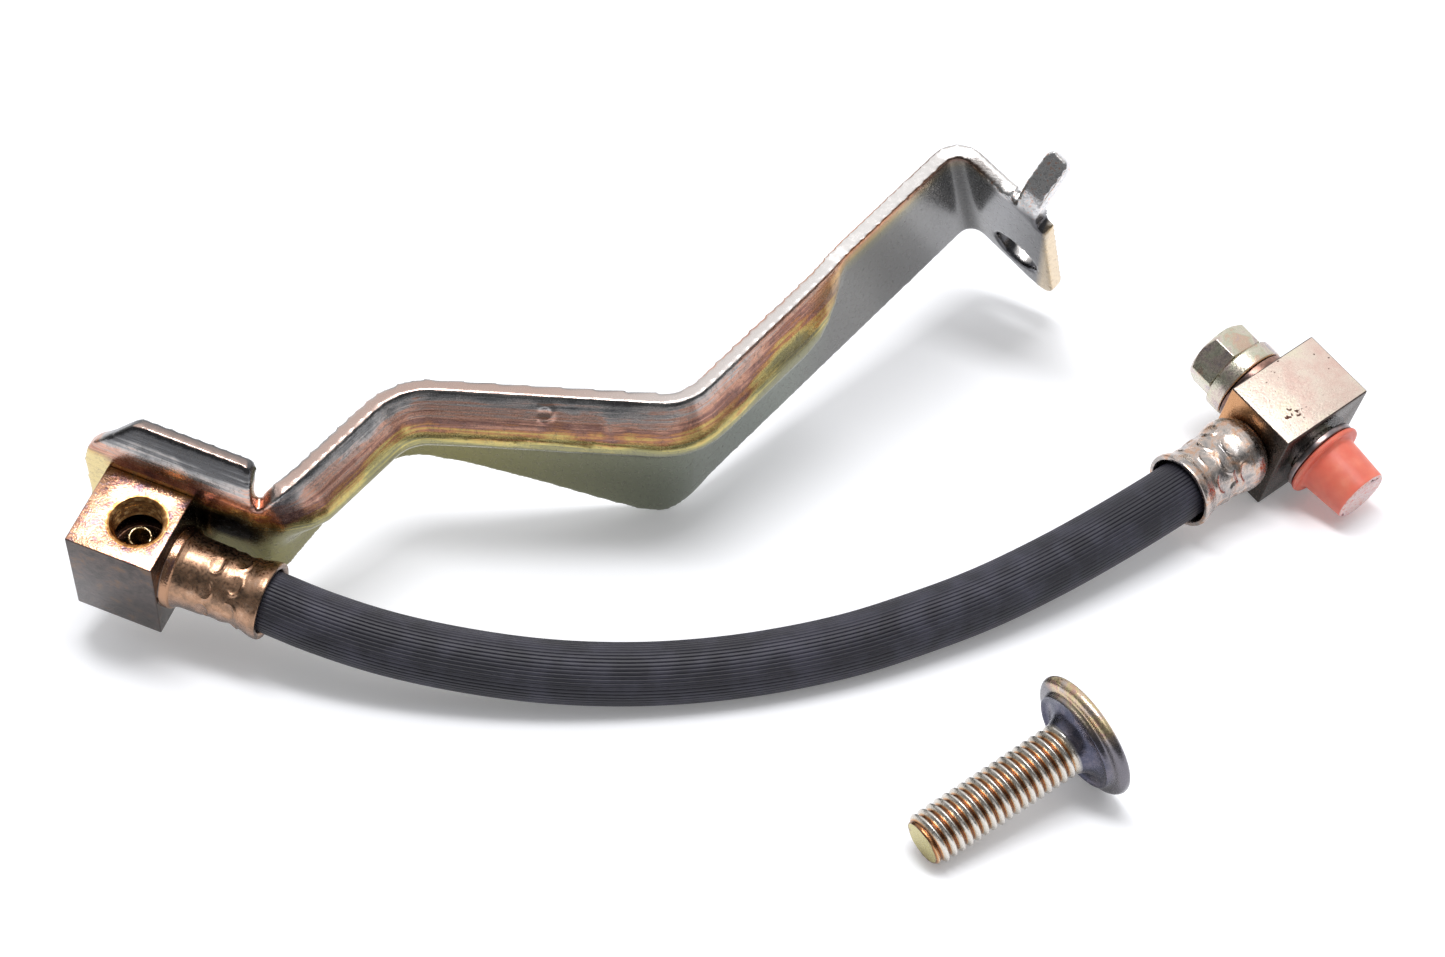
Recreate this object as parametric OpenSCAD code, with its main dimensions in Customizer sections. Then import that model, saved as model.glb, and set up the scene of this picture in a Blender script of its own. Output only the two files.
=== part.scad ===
/* [Hose] */
// Outside diameter of the rubber hose
hose_d = 10.9; // [10:0.1:11.4]
// Outside diameter of the two metal stems inside the hose
stem_d = 5; // [4.4:0.1:5.6]
// Diameter of the fluid passage
passage_d = 3.2; // [2.4:0.1:3.6]
// Depth that each stem is pressed into its block
stem_press = 4; // [3:0.5:5]

/* [Inlet block] */
// Side of the square bar that the inlet block is cut from
inlet_side = 15.875; // [14:0.125:18]
// Height of the inlet block along its port
inlet_h = 21; // [19:0.5:24]
// Diameter of the tube nut thread in the port
port_d = 9.525; // [8:0.1:11]
// Depth of the port
port_depth = 9.6; // [8:0.1:11]
// Length of the port's thread under its chamfer
port_thread_l = 4.1; // [3:0.1:4.6]
// How far the port sits off the block's middle, towards the hose
port_offset = 1.5; // [0:0.1:2]
// Depth of the tip of the flare seat under the top face
seat_tip_depth = 5; // [3.5:0.1:6.5]
// Outside diameter of the tip of the flare seat
seat_tip_d = 4.1; // [3.8:0.1:6]
// Diameter of the turned shoulder on the hose side
shoulder_d = 14.6; // [13.4:0.1:15.4]
// Thickness of the turned shoulder
shoulder_t = 1.5; // [0.8:0.1:2.5]
// Diameter of the staked tenon that holds the bracket
tenon_d = 9; // [6:0.5:11]
// Height of the staked head behind the bracket
stake_h = 0.8; // [0.4:0.1:1.5]

/* [Inlet ferrule] */
// Length of the inlet ferrule
inlet_ferrule_l = 15.1; // [13:0.1:18]
// Crimped outside diameter of the inlet ferrule
inlet_crimp_d = 12.5; // [12.2:0.1:13.4]
// Outside diameter of its flared rim
inlet_rim_d = 13.9; // [13:0.1:14.2]

/* [Banjo block] */
// Length of the banjo block along the hose
banjo_l = 20.8; // [19:0.2:23]
// Width of the banjo block along the bolt
banjo_w = 14.6; // [13:0.2:16]
// Height of the banjo block
banjo_h = 19.5; // [18:0.5:21]
// Width of the fluid groove inside the bolt bore
groove_w = 6; // [4:0.5:7]
// Depth of the fluid groove
groove_depth = 1.2; // [0.6:0.1:2]

/* [Banjo ferrule] */
// Length of the banjo ferrule
banjo_ferrule_l = 17.2; // [15:0.2:19]
// Diameter of its domed shoulder
dome_d = 14.2; // [13.6:0.1:15]
// Crimped outside diameter of the banjo ferrule
banjo_crimp_d = 12.6; // [12.3:0.1:13.4]
// Outside diameter of its flared rim
banjo_rim_d = 14.4; // [13.8:0.1:15]

/* [Banjo bolt] */
// Thread diameter of the banjo bolt
bolt_d = 9.8; // [9:0.1:10.4]
// How much wider than its thread the bolt's plain collar is
collar_step = 0.2; // [0.1:0.1:1]
// Radial clearance of the collar in the block
collar_fit = 0.05; // [0.02:0.01:0.1]
// Diameter of the round flange under the hexagon
flange_d = 15.3; // [14:0.1:17]
// Thickness of the round flange
flange_t = 3.4; // [2:0.1:4]
// Width of the hexagon across its flats
hex_af = 12.3; // [12:0.1:14]
// Height of the hexagon head
hex_h = 5.7; // [5:0.1:8]
// Turn of the hexagon about the bolt axis, in degrees
hex_turn = 6.5; // [0:0.5:59.5]
// Length of thread beyond the banjo block
thread_out = 10.2; // [9:0.2:12]
// Diameter of the drilled passage in the bolt
bolt_drill_d = 3.2; // [2.5:0.1:4]
// Diameter of the cross hole in the bolt
cross_hole_d = 2.5; // [2:0.1:3]

/* [Washers and cap] */
// Outside diameter of the head washer
head_washer_d = 15; // [14:0.1:17]
// Thickness of the head washer
head_washer_t = 1.85; // [1:0.05:2.5]
// Outside diameter of the second washer
caliper_washer_d = 14.9; // [14:0.1:17]
// Thickness of the second washer
caliper_washer_t = 1.2; // [1:0.1:2.5]
// Gap between each washer face and its neighbour
washer_gap = 0.15; // [0.1:0.05:0.4]
// Free play between the block and the second washer
washer_play = 1.2; // [1:0.1:1.6]
// Outside diameter of the cap's flange
cap_flange_d = 15.4; // [14:0.1:16]
// Thickness of the cap's flange
cap_flange_t = 1.1; // [0.8:0.1:1.8]
// Wall of the cap at its flange
cap_wall = 0.95; // [0.7:0.05:1.5]
// Wall of the cap beside its closed end
cap_end_wall = 0.3; // [0.2:0.05:0.6]
// Clearance between the cap's closed end and the bolt's tip
cap_end_gap = 1.1; // [0.5:0.1:2]
// Thickness of the cap's closed end
cap_end_t = 1.6; // [1:0.1:2]

/* [Mounting screw] */
// Thread diameter of the mounting screw
screw_d = 9.4; // [8:0.1:10.2]
// Length from the tip to the collar
screw_thread_l = 28.4; // [24:0.2:32]
// Length of the tapered collar
screw_collar_l = 3; // [2:0.1:4]
// Diameter of the head
screw_head_d = 22.3; // [19:0.1:25]
// Thickness of the head at its rim
screw_head_t = 2.8; // [2.4:0.1:4]
// Diameter of the raised ring under the head
screw_ring_d = 17.8; // [16:0.2:18.6]
// Depth of the six-lobed drive recess
drive_depth = 2; // [1:0.1:2.2]

/* [Bracket] */
// Thickness of the bracket's steel sheet
sheet_t = 3; // [2:0.1:3.4]
// How far the stiffening rib stands out of the web
rib_out = 5; // [3:0.1:5.5]
// Height of the web's top edge over the inlet block's centre
web_top = 16.4; // [15:0.1:18]
// Diameter of the screw hole in the end plate
screw_hole_d = 10.4; // [10:0.1:11.6]
// Lean of the flange over the inlet block, in degrees
flange_lean = 28; // [15:1:40]
// Lean of the locating tab, in degrees
tab_lean = 65; // [35:1:75]
// Width of the locating tab, along the strip
tab_w = 4.8; // [4:0.2:6]
// Radius of the bend beside the inlet block, on the front face
bend_1_r = 6; // [5:0.5:8]
// Radius of the bend into the middle stretch, on the front face
bend_2_r = 12; // [10:0.5:14]
// Radius of the bend out of the middle stretch, on the front face
bend_3_r = 11; // [9:0.5:13]
// Inside radius of the end plate's fold
fold_r = 3; // [2:0.5:4]

/* [Hidden] */
$fn = 64;

// Places and turns of the three separate things, in the kit's own frame
inlet_place = [-104, -19, 18.4];
inlet_turn = [14.7, 9.8, -19.3];
banjo_place = [98.9, 22.9, 12.3];
banjo_turn = [17.1, -4.3, 39.4];
screw_place = [28.2, -73.3];
screw_heading = 32.9;

// Route of the hose from one ferrule to the other
hose_route = [
    [-92.8, -22.9, 16.3], [-81.8, -26.8, 14.3], [-71.3, -30.8, 12.4], [-59.8, -33.9, 10.4],
    [-46.8, -36, 8.6], [-33.3, -36.9, 7], [-19.8, -36.5, 5.9], [-7.3, -35.2, 5.5],
    [5.2, -32.8, 5.45], [18.2, -28.9, 5.5], [30.2, -23.9, 5.9], [41.6, -18.4, 6.5],
    [53.5, -11.5, 7.6], [64.8, -4, 8.8], [76.2, 4.3, 10.1], [88.1, 14.1, 11.2]
];
hose_sides = 12;

inlet_half = inlet_side / 2;
top_z = inlet_h / 2;
shoulder_cone = 1;
ferrule_1_x = inlet_half + shoulder_t + shoulder_cone;
ferrule_wall = 0.75;
ferrule_floor = 1.2;
stem_back = 2;
block_x = banjo_l / 2;
block_y = banjo_w / 2;
collar_end = groove_w / 2 + 1.5;
collar_r = bolt_d / 2 + collar_step / 2;
bore_r = collar_r + collar_fit;
tip_y = block_y + thread_out;
flange_y = block_y + 2 * washer_gap + head_washer_t;
hex_groove = 0.4;
hex_y = flange_y + flange_t + hex_groove;
washer_2_y = -block_y - washer_play;
cap_y = washer_2_y - caliper_washer_t - washer_gap;
cap_fit = 0.05;
cap_bore_r = bolt_d / 2 + cap_fit;
cap_base_r = cap_bore_r + cap_wall;
cap_end_r = cap_bore_r + cap_end_wall;
cap_l = tip_y + cap_end_gap + cap_end_t + cap_y;
screw_rim_x = screw_thread_l + screw_collar_l + screw_head_t / 2;
screw_chamfer = 1.2;
screw_lean = atan((screw_head_d - screw_d) / 2 / (screw_rim_x - screw_chamfer));
screw_height = screw_d / 2 * cos(screw_lean) - screw_chamfer * sin(screw_lean);

module at_inlet() {
    translate(inlet_place) rotate(inlet_turn) children();
}

module at_banjo() {
    translate(banjo_place) rotate(banjo_turn) children();
}

module at_screw() {
    translate([screw_place.x, screw_place.y, screw_height])
        rotate([0, -screw_lean, screw_heading]) rotate([0, 90, 0]) children();
}

// A turned shape whose outline runs along +X
module along_x() {
    rotate([0, 90, 0]) rotate_extrude() children();
}

// Inlet block: square brass bar with a flare port, a turned shoulder and a staked tenon
module inlet_block() {
    port_r = port_d / 2;
    drill_r = passage_d / 2;
    seat_r = port_r - 0.3;
    mouth = 0.5;
    color("#a9825f") at_inlet() {
        difference() {
            union() {
                cube([inlet_side, inlet_side, inlet_h], center = true);
                along_x() polygon([
                    [0, 0], [shoulder_d / 2, 0], [shoulder_d / 2, inlet_half + shoulder_t],
                    [inlet_crimp_d / 2 - 0.6, ferrule_1_x], [0, ferrule_1_x]
                ]);
                rotate([-90, 0, 0]) cylinder(d = tenon_d, h = inlet_half + sheet_t + stake_h);
            }
            translate([port_offset, 0, 0]) {
                translate([0, 0, top_z - port_depth]) cylinder(r = port_r, h = port_depth + 1);
                translate([0, 0, top_z - port_depth])
                    cylinder(r = port_r + 0.3, h = port_depth - port_thread_l - mouth);
                translate([0, 0, top_z - mouth])
                    cylinder(r1 = port_r, r2 = port_r + 0.4, h = mouth + 0.05);
                translate([0, 0, -drill_r]) cylinder(r = drill_r, h = top_z);
                rotate([0, 90, 0]) cylinder(r = drill_r, h = ferrule_1_x);
            }
            translate([ferrule_1_x - stem_press, 0, 0])
                rotate([0, 90, 0]) cylinder(d = stem_d, h = stem_press + 1);
        }
        translate([port_offset, 0, top_z - port_depth]) difference() {
            translate([0, 0, -0.2])
                cylinder(r1 = seat_r, r2 = seat_tip_d / 2, h = port_depth + 0.2 - seat_tip_depth);
            translate([0, 0, -1]) cylinder(r = drill_r, h = port_depth);
        }
    }
}

// Barbed tube that the hose is pushed on, drawn along +X from its pressed end
module stem(length) {
    r = stem_d / 2;
    barb = 0.25;
    difference() {
        union() {
            rotate([0, 90, 0]) cylinder(r = r, h = length);
            for (i = [0 : 2])
                translate([length - 3 - 3 * i, 0, 0])
                    rotate([0, 90, 0]) cylinder(r1 = r + barb, r2 = r, h = 2);
        }
        translate([-1, 0, 0]) rotate([0, 90, 0]) cylinder(d = passage_d, h = length + 2);
    }
}

module inlet_stem() {
    color("#9a7b5a") at_inlet() translate([ferrule_1_x - stem_press, 0, 0])
        stem(stem_press + inlet_ferrule_l - stem_back);
}

// Inlet ferrule: drawn brass cup, crimped on the hose, with a flared rim
module inlet_ferrule() {
    crimp_r = inlet_crimp_d / 2;
    rim_r = inlet_rim_d / 2;
    hose_r = hose_d / 2;
    l = inlet_ferrule_l;
    color("#b08560") at_inlet() translate([ferrule_1_x, 0, 0]) along_x() polygon([
        [stem_d / 2, 0], [crimp_r - 0.5, 0], [crimp_r + 0.1, 0.8], [crimp_r + 0.1, 4.4],
        [crimp_r - 0.15, 5.2], [crimp_r - 0.15, 7], [crimp_r + 0.05, 7.8], [crimp_r - 0.15, 8.6],
        [crimp_r - 0.15, 10.4], [crimp_r, 11.4], [rim_r - 0.1, l - 1.6], [rim_r, l - 0.5],
        [rim_r - 0.25, l], [hose_r + 0.15, l], [hose_r, l - 1.5], [hose_r, ferrule_floor],
        [stem_d / 2, ferrule_floor]
    ]);
}

// Points of one ring round the route, square to the stretch on both sides of it
function unit(v) = v / norm(v);
function route_heading(i) =
    unit(hose_route[min(i + 1, len(hose_route) - 1)] - hose_route[max(i - 1, 0)]);
function route_ring(i) =
    let (ahead = route_heading(i), side = unit(cross([0, 0, 1], ahead)), up = cross(ahead, side))
    [for (j = [0 : hose_sides - 1])
        hose_route[i] + hose_d / 2 * (cos(j * 360 / hose_sides + 15) * side
                                      + sin(j * 360 / hose_sides + 15) * up)];

// Hose: one moulded rubber tube, drawn as a plain swept tube
module hose() {
    n = hose_sides;
    last = len(hose_route) - 1;
    points = [for (i = [0 : last]) each route_ring(i)];
    sides = [for (i = [0 : last - 1], j = [0 : n - 1])
        [i * n + j, (i + 1) * n + j, (i + 1) * n + (j + 1) % n, i * n + (j + 1) % n]];
    start = [for (j = [0 : n - 1]) j];
    finish = [for (j = [n - 1 : -1 : 0]) last * n + j];
    color("#34343f") polyhedron(points, concat(sides, [start, finish]), convexity = 4);
}

// Banjo ferrule: plated steel cup with a domed shoulder and an open flared rim
module banjo_ferrule() {
    dome_r = dome_d / 2;
    crimp_r = banjo_crimp_d / 2;
    rim_r = banjo_rim_d / 2;
    hose_r = hose_d / 2;
    l = banjo_ferrule_l;
    color("#a39a8c") at_banjo() translate([-block_x, 0, 0]) mirror([1, 0, 0]) along_x() polygon([
        [stem_d / 2, 0], [dome_r - 2, 0], [dome_r - 0.9, 0.7], [dome_r - 0.2, 2], [dome_r, 3.6],
        [dome_r - 0.3, 5.6], [crimp_r + 0.1, 7.4], [crimp_r - 0.1, 8.4], [crimp_r + 0.1, 9.4],
        [crimp_r - 0.1, 10.6], [crimp_r, 12.4], [rim_r - 0.9, 14], [rim_r - 0.1, l - 1.2],
        [rim_r, l - 0.4], [rim_r - 0.3, l], [rim_r - ferrule_wall, l],
        [rim_r - ferrule_wall - 0.4, l - 1.6], [hose_r, l - 4.4], [hose_r, ferrule_floor],
        [stem_d / 2, ferrule_floor]
    ]);
}

module banjo_stem() {
    color("#8d8475") at_banjo() translate([-block_x + stem_press, 0, 0]) mirror([1, 0, 0])
        stem(stem_press + banjo_ferrule_l - stem_back);
}

// Banjo block: sawn steel bar with a grooved bolt bore and a drilling to the hose
module banjo_block() {
    color("#d9c3ab") at_banjo() difference() {
        cube([banjo_l, banjo_w, banjo_h], center = true);
        rotate([90, 0, 0]) cylinder(r = bore_r, h = banjo_w + 2, center = true);
        rotate([90, 0, 0]) cylinder(r = bore_r + groove_depth, h = groove_w, center = true);
        translate([-block_x - 1, 0, 0]) rotate([0, 90, 0]) cylinder(d = passage_d, h = block_x);
        translate([-block_x - 1, 0, 0]) rotate([0, 90, 0]) cylinder(d = stem_d, h = stem_press + 1);
    }
}

// Banjo bolt: hexagon head, plain collar, waist at the cross hole, thread and axial drilling
module banjo_bolt() {
    thread_r = bolt_d / 2;
    corner_r = hex_af / 2 / cos(30);
    waist_r = thread_r - 0.8;
    color("#b9ad8c") at_banjo() difference() {
        union() {
            translate([0, hex_y, 0]) rotate([-90, 0, 0]) intersection() {
                rotate([0, 0, hex_turn]) cylinder(r = corner_r, h = hex_h, $fn = 6);
                rotate_extrude() polygon([
                    [0, 0], [corner_r + 0.5, 0], [corner_r + 0.5, hex_h - 1.4],
                    [hex_af / 2 - 0.3, hex_h], [0, hex_h]
                ]);
            }
            rotate([90, 0, 0]) rotate_extrude() polygon([
                [0, -hex_y - 1], [hex_af / 2 - 0.5, -hex_y - 1], [hex_af / 2 - 0.5, -hex_y + 0.2],
                [flange_d / 2 - 0.2, -hex_y + hex_groove], [flange_d / 2, -hex_y + hex_groove + 0.2],
                [flange_d / 2, -flange_y - 0.2], [flange_d / 2 - 0.2, -flange_y],
                [collar_r, -flange_y], [collar_r, -collar_end],
                [waist_r, -collar_end + 0.6], [waist_r, collar_end - 0.6], [thread_r, collar_end],
                [thread_r, tip_y - 1], [thread_r - 0.9, tip_y], [0, tip_y]
            ]);
        }
        translate([0, -tip_y - 1, 0]) rotate([-90, 0, 0])
            cylinder(d = bolt_drill_d, h = tip_y + 1 + cross_hole_d);
        cylinder(d = cross_hole_d, h = 2 * bolt_d, center = true);
    }
}

// Flat ring on the bolt axis, from y to y + thickness
module ring(y, thickness, outer_d, inner_d) {
    translate([0, y, 0]) rotate([-90, 0, 0]) difference() {
        cylinder(d = outer_d, h = thickness);
        translate([0, 0, -1]) cylinder(d = inner_d, h = thickness + 2);
    }
}

module head_washer() {
    color("#b3a58c") at_banjo()
        ring(block_y + washer_gap, head_washer_t, head_washer_d, 2 * bore_r);
}

module caliper_washer() {
    color("#857a70") at_banjo()
        ring(washer_2_y - caliper_washer_t, caliper_washer_t, caliper_washer_d,
             2 * cap_bore_r);
}

// Moulded push-on cap over the thread
module thread_cap() {
    color("#e8705a") at_banjo() translate([0, cap_y, 0]) rotate([90, 0, 0]) difference() {
        rotate_extrude() polygon([
            [0, 0], [cap_flange_d / 2 - 0.3, 0], [cap_flange_d / 2, 0.3],
            [cap_flange_d / 2, cap_flange_t - 0.3], [cap_flange_d / 2 - 0.3, cap_flange_t],
            [cap_base_r + 0.4, cap_flange_t], [cap_base_r, cap_flange_t + 0.4],
            [cap_end_r, cap_l - 0.4], [cap_end_r - 0.4, cap_l], [0, cap_l]
        ]);
        translate([0, 0, -1]) cylinder(r = cap_bore_r, h = cap_l - cap_end_t + 1);
    }
}

// Mounting screw: rolled thread, tapered collar, wide flat head with a six-lobed recess
module mounting_screw() {
    r = screw_d / 2;
    head_r = screw_head_d / 2;
    ring_r = screw_ring_d / 2;
    neck = screw_thread_l;
    under = neck + screw_collar_l;
    back = under + screw_head_t;
    color("#c2a878") at_screw() difference() {
        rotate_extrude() polygon([
            [0, 0], [r - 0.9, 0], [r, screw_chamfer], [r, neck], [r + 0.5, neck + 1],
            [r + 1.4, neck + 2], [r + 2.6, under - 0.2], [ring_r - 0.9, under - 0.2],
            [ring_r - 0.2, under - 0.5], [ring_r, under + 0.1], [ring_r + 0.2, under + 0.3],
            [head_r - 0.9, under + 0.4], [head_r - 0.2, under + 0.8], [head_r, under + 1.4],
            [head_r - 0.2, back - 0.7], [head_r - 1, back - 0.2], [head_r - 2, back], [0, back]
        ]);
        translate([0, 0, back - drive_depth]) {
            cylinder(r = 2.9, h = drive_depth + 1);
            for (a = [0 : 60 : 300])
                rotate([0, 0, a]) translate([2.9, 0, 0]) cylinder(r = 0.9, h = drive_depth + 1);
        }
    }
}

// The bracket is a straight strip that is bent on the lines below. Its flat pattern has s along
// the strip and z across it, with z = 0 level with the inlet block's centre.
strip_start = 12.7;
turn_1 = 72.2;
turn_2 = -52.4;
turn_3 = 51.1;
fold_turn = 94;
fold_skew = 20;
leg_1 = 34.8;
leg_2 = 32.3;
leg_3 = 49.8;
leg_4 = 81.3;
end_plate_l = 20.9;
hole_from_fold = 12;
hole_drop = 9.8;
function bend_tangent(r, turn) = r * tan(abs(turn) / 2);
function arc_length(r, turn) = r * abs(turn) * PI / 180;
tan_1 = bend_tangent(bend_1_r, turn_1);
tan_2 = bend_tangent(bend_2_r, turn_2);
tan_3 = bend_tangent(bend_3_r, turn_3);
tan_4 = bend_tangent(fold_r, fold_turn) / cos(fold_skew);
// Each stretch of the front face is [length, turn], and a straight one has no turn
stretches = [
    [leg_1 - tan_1, 0], [arc_length(bend_1_r, turn_1), turn_1],
    [leg_2 - tan_1 - tan_2, 0], [arc_length(bend_2_r, turn_2), turn_2],
    [leg_3 - tan_2 - tan_3, 0], [arc_length(bend_3_r, turn_3), turn_3],
    [leg_4 - tan_3 - tan_4, 0]
];
function stretch_end(i) = i < 0 ? 0 : stretches[i][0] + stretch_end(i - 1);
strip_fold = stretch_end(6);
fold_l = arc_length(fold_r, fold_turn) / cos(fold_skew);
strip_end = strip_fold + fold_l + end_plate_l / cos(fold_skew) - tan_4;
// Place and heading [x, y, angle] of the front face at s
function strip_pose(s, i = 0, x = -strip_start, y = inlet_half, a = 0) =
    let (l = stretches[i][0], turn = stretches[i][1], d = i < 6 ? min(s, l) : s)
    let (b = turn == 0 ? a : a + turn * d / l, r = turn == 0 ? 0 : l * 180 / PI / turn)
    let (nx = turn == 0 ? x + d * cos(a) : x + r * (sin(b) - sin(a)))
    let (ny = turn == 0 ? y + d * sin(a) : y + r * (cos(a) - cos(b)))
    s <= l || i == 6 ? [nx, ny, b] : strip_pose(s - l, i + 1, nx, ny, b);
function smooth(t) = let (c = min(1, max(0, t))) c * c * (3 - 2 * c);

// Frame of the sheet at s: [point, front normal, direction up the sheet]
function skew(s) = fold_skew * smooth((s - strip_fold + 30) / 28);
fold_pose = strip_pose(strip_fold);
fold_ahead = [cos(fold_pose.z), sin(fold_pose.z), 0];
fold_normal = [sin(fold_pose.z), -cos(fold_pose.z), 0];
fold_up = [-sin(fold_skew) * fold_ahead.x, -sin(fold_skew) * fold_ahead.y, cos(fold_skew)];
fold_across = cross(fold_normal, fold_up) * -1;
function turned(a) = cos(a) * fold_across + sin(a) * fold_normal;
function turned_normal(a) = cos(a) * fold_normal - sin(a) * fold_across;
function sheet_frame(s) =
    s <= strip_fold
    ? let (p = strip_pose(s), k = skew(s), ahead = [cos(p.z), sin(p.z), 0])
      [[p.x, p.y, 0], [ahead.y, -ahead.x, 0],
       [-sin(k) * ahead.x, -sin(k) * ahead.y, cos(k)]]
    : let (past = (s - strip_fold) * cos(fold_skew))
      let (a = min(fold_turn, past / fold_r * 180 / PI))
      let (flat = max(0, past - arc_length(fold_r, fold_turn)))
      [[fold_pose.x, fold_pose.y, 0]
           + fold_r * (sin(a) * fold_across + (1 - cos(a)) * fold_normal)
           + flat * turned(fold_turn) - (s - strip_fold) * sin(fold_skew) * fold_up,
       turned_normal(a), fold_up];

// Edges of the strip, as [s, z] corners of the flat pattern
flange_top = 21.9;
tab_top = 31.4;
tab_right = strip_end - 2.4;
tab_left = tab_right - tab_w;
top_edge = [
    [0, 9.5], [0.8, 13], [2.2, 15.6], [7.2, 20.2], [8.4, flange_top - 0.5], [9.6, flange_top],
    [29.1, flange_top], [29.9, flange_top - 0.3], [30.5, flange_top - 1.2], [31, 17.8],
    [31.4, 15.2], [31.9, 13.4], [32.7, 12.8], [33.8, 13.9], [35, 15.3], [36.3, web_top - 0.4],
    [38, web_top], [strip_fold + 2, web_top], [tab_left - 4, web_top + 1],
    [tab_left - 1.7, web_top + 1.8], [tab_left - 1.5, web_top + 0.9],
    [tab_left - 0.2, web_top + 0.9], [tab_left, tab_top - 1], [tab_left + 0.8, tab_top],
    [tab_right - 0.8, tab_top], [tab_right, tab_top - 0.8], [tab_right + 0.2, web_top - 0.4],
    [strip_end, web_top - 0.6]
];
low_edge = [
    [0, -5], [1.5, -8], [4, -9], [28, -9], [36, -7.6], [40, -6.1], [52, -2.6], [58, -2.6],
    [66, -4.4], [77, -7.1], [89.6, -11.8], [100.6, -16.5], [108, -19.3], [113, -20],
    [118, -18.6], [123, -17.6], [128, -17.4], [strip_end - 6, -17.4], [strip_end - 3, -16.6],
    [strip_end - 1.2, -15], [strip_end, -12]
];
rib_crest = 7.2;
rib_low = -0.8;
rib_start = 33;
rib_full = 43;
rib_fade = 142;
rib_end = 157;
flange_bend_z = 12.5;
flange_bend_r = 10;
tab_bend_z = web_top + 0.2;
tab_bend_r = 7;
function rib_k(s) =
    smooth((s - rib_start) / (rib_full - rib_start))
    * (s < rib_fade ? 1 : max(0, 1 - pow((s - rib_fade) / (rib_end - rib_fade), 2)));
function rib_lift(s) = 6 * pow(min(1, max(0, (s - rib_fade) / (rib_end - rib_fade))), 2);
// How far the front face stands out of the web at height z
function rib_shape(z, lift) =
    let (crest = rib_crest + lift, low = rib_low + 1.3 * lift)
    z > crest ? let (t = (web_top - z) / (web_top - crest)) max(0, t) * (6 - pow(max(0, t), 5)) / 5
    : z > low ? 0.5 + 0.5 * cos(180 * (crest - z) / (crest - low)) : 0;
// Lean of the sheet past its bend line, as [out, up]
function lean(z, from, r, angle) =
    z <= from ? [0, z]
    : let (a = min(angle, (z - from) / r * 180 / PI), rest = max(0, z - from - arc_length(r, angle)))
      [-r * (1 - cos(a)) - rest * sin(angle), from + r * sin(a) + rest * cos(angle)];
function sheet_section(s, z) =
    s < 40
    ? let (p = lean(z, flange_bend_z, flange_bend_r, flange_lean), k = min(1, max(0, 33.5 - s)))
      [k * p[0] + rib_out * rib_k(s) * rib_shape(z, 0), k * p[1] + (1 - k) * z]
    : s > tab_left - 1 ? lean(z, tab_bend_z, tab_bend_r, tab_lean)
    : [rib_out * rib_k(s) * rib_shape(z, rib_lift(s)), z];
function sheet_point(s, z, depth) =
    let (f = sheet_frame(s), p = sheet_section(s, z), step = 0.2)
    let (stretch = s > strip_fold ? 1 / cos(fold_skew) : 1 / f[2].z)
    let (q = sheet_section(s, z + step) - sheet_section(s, z - step), slope = unit(q))
    let (out = p[0] - depth * slope[1], up = (p[1] + depth * slope[0]) * stretch)
    f[0] + out * f[1] + up * f[2];
rows = 22;
stations = concat(
    [0, 0.8, 2.2, 4.7, 7.2, 8.4, 9.6, 17, 24, 29.1, 29.9, 30.5, 31, 31.4, 31.9, 32.7, 33.8, 35, 36.3],
    [38, 40, 43],
    [47, 52, 58, 60, 62, 64, 66, 68, 70, 72, 77, 83, 89.6, 95, 100.6, 105, 108, 110, 111.5, 113],
    [114.5, 116, 118, 120, 123, 128, 136, 142, 146, 149, 152, 154, 156, 158, 165, 174, 182],
    [for (i = [0 : 6]) strip_fold + i / 6 * fold_l],
    [tab_left - 7, tab_left - 4, tab_left - 1.7, tab_left - 1.5, tab_left - 0.2, tab_left,
     tab_left + 0.8, tab_right - 0.8, tab_right, tab_right + 0.2, strip_end - 1.2, strip_end]
);
function sheet_row(s, depth) =
    let (low = lookup(s, low_edge), high = lookup(s, top_edge))
    [for (j = [0 : rows]) sheet_point(s, low + (high - low) * j / rows, depth)];

module bracket_sheet() {
    n = rows + 1;
    m = 2 * n;
    last = len(stations) - 1;
    loops = [for (s = stations)
        concat(sheet_row(s, 0), [for (j = [rows : -1 : 0]) sheet_row(s, sheet_t)[j]])];
    sides = [for (i = [0 : last - 1], j = [0 : m - 1])
        each [[i * m + j, i * m + (j + 1) % m, (i + 1) * m + j],
              [i * m + (j + 1) % m, (i + 1) * m + (j + 1) % m, (i + 1) * m + j]]];
    ends = [for (j = [0 : rows - 1])
        each [[j, m - 2 - j, j + 1], [j, m - 1 - j, m - 2 - j]]];
    caps = concat([for (t = ends) t], [for (t = ends) [for (k = [2 : -1 : 0]) last * m + t[k]]]);
    polyhedron([for (l = loops) each l], concat(sides, caps), convexity = 8);
}

// Bracket: one pressed and folded steel strip with a rib, a flange, a skewed end plate and a tab
module bracket() {
    hole_s = strip_fold + fold_l + hole_from_fold / cos(fold_skew) - tan_4;
    hole_frame = sheet_frame(hole_s);
    hole_centre = hole_frame[0] - hole_drop * hole_frame[2];
    hole_axis = hole_frame[1];
    color("#b7ae86") at_inlet() difference() {
        bracket_sheet();
        rotate([-90, 0, 0]) cylinder(d = tenon_d, h = inlet_half + sheet_t + 2);
        translate(hole_centre) rotate([0, acos(hole_axis.z), atan2(hole_axis.y, hole_axis.x)])
            cylinder(d = screw_hole_d, h = 4 * sheet_t, center = true);
    }
}

bracket();
inlet_block();
inlet_stem();
inlet_ferrule();
hose();
banjo_ferrule();
banjo_stem();
banjo_block();
banjo_bolt();
head_washer();
caliper_washer();
thread_cap();
mounting_screw();
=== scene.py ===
import math
import random

import bpy
from mathutils import Euler, Matrix, Vector, geometry


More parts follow.
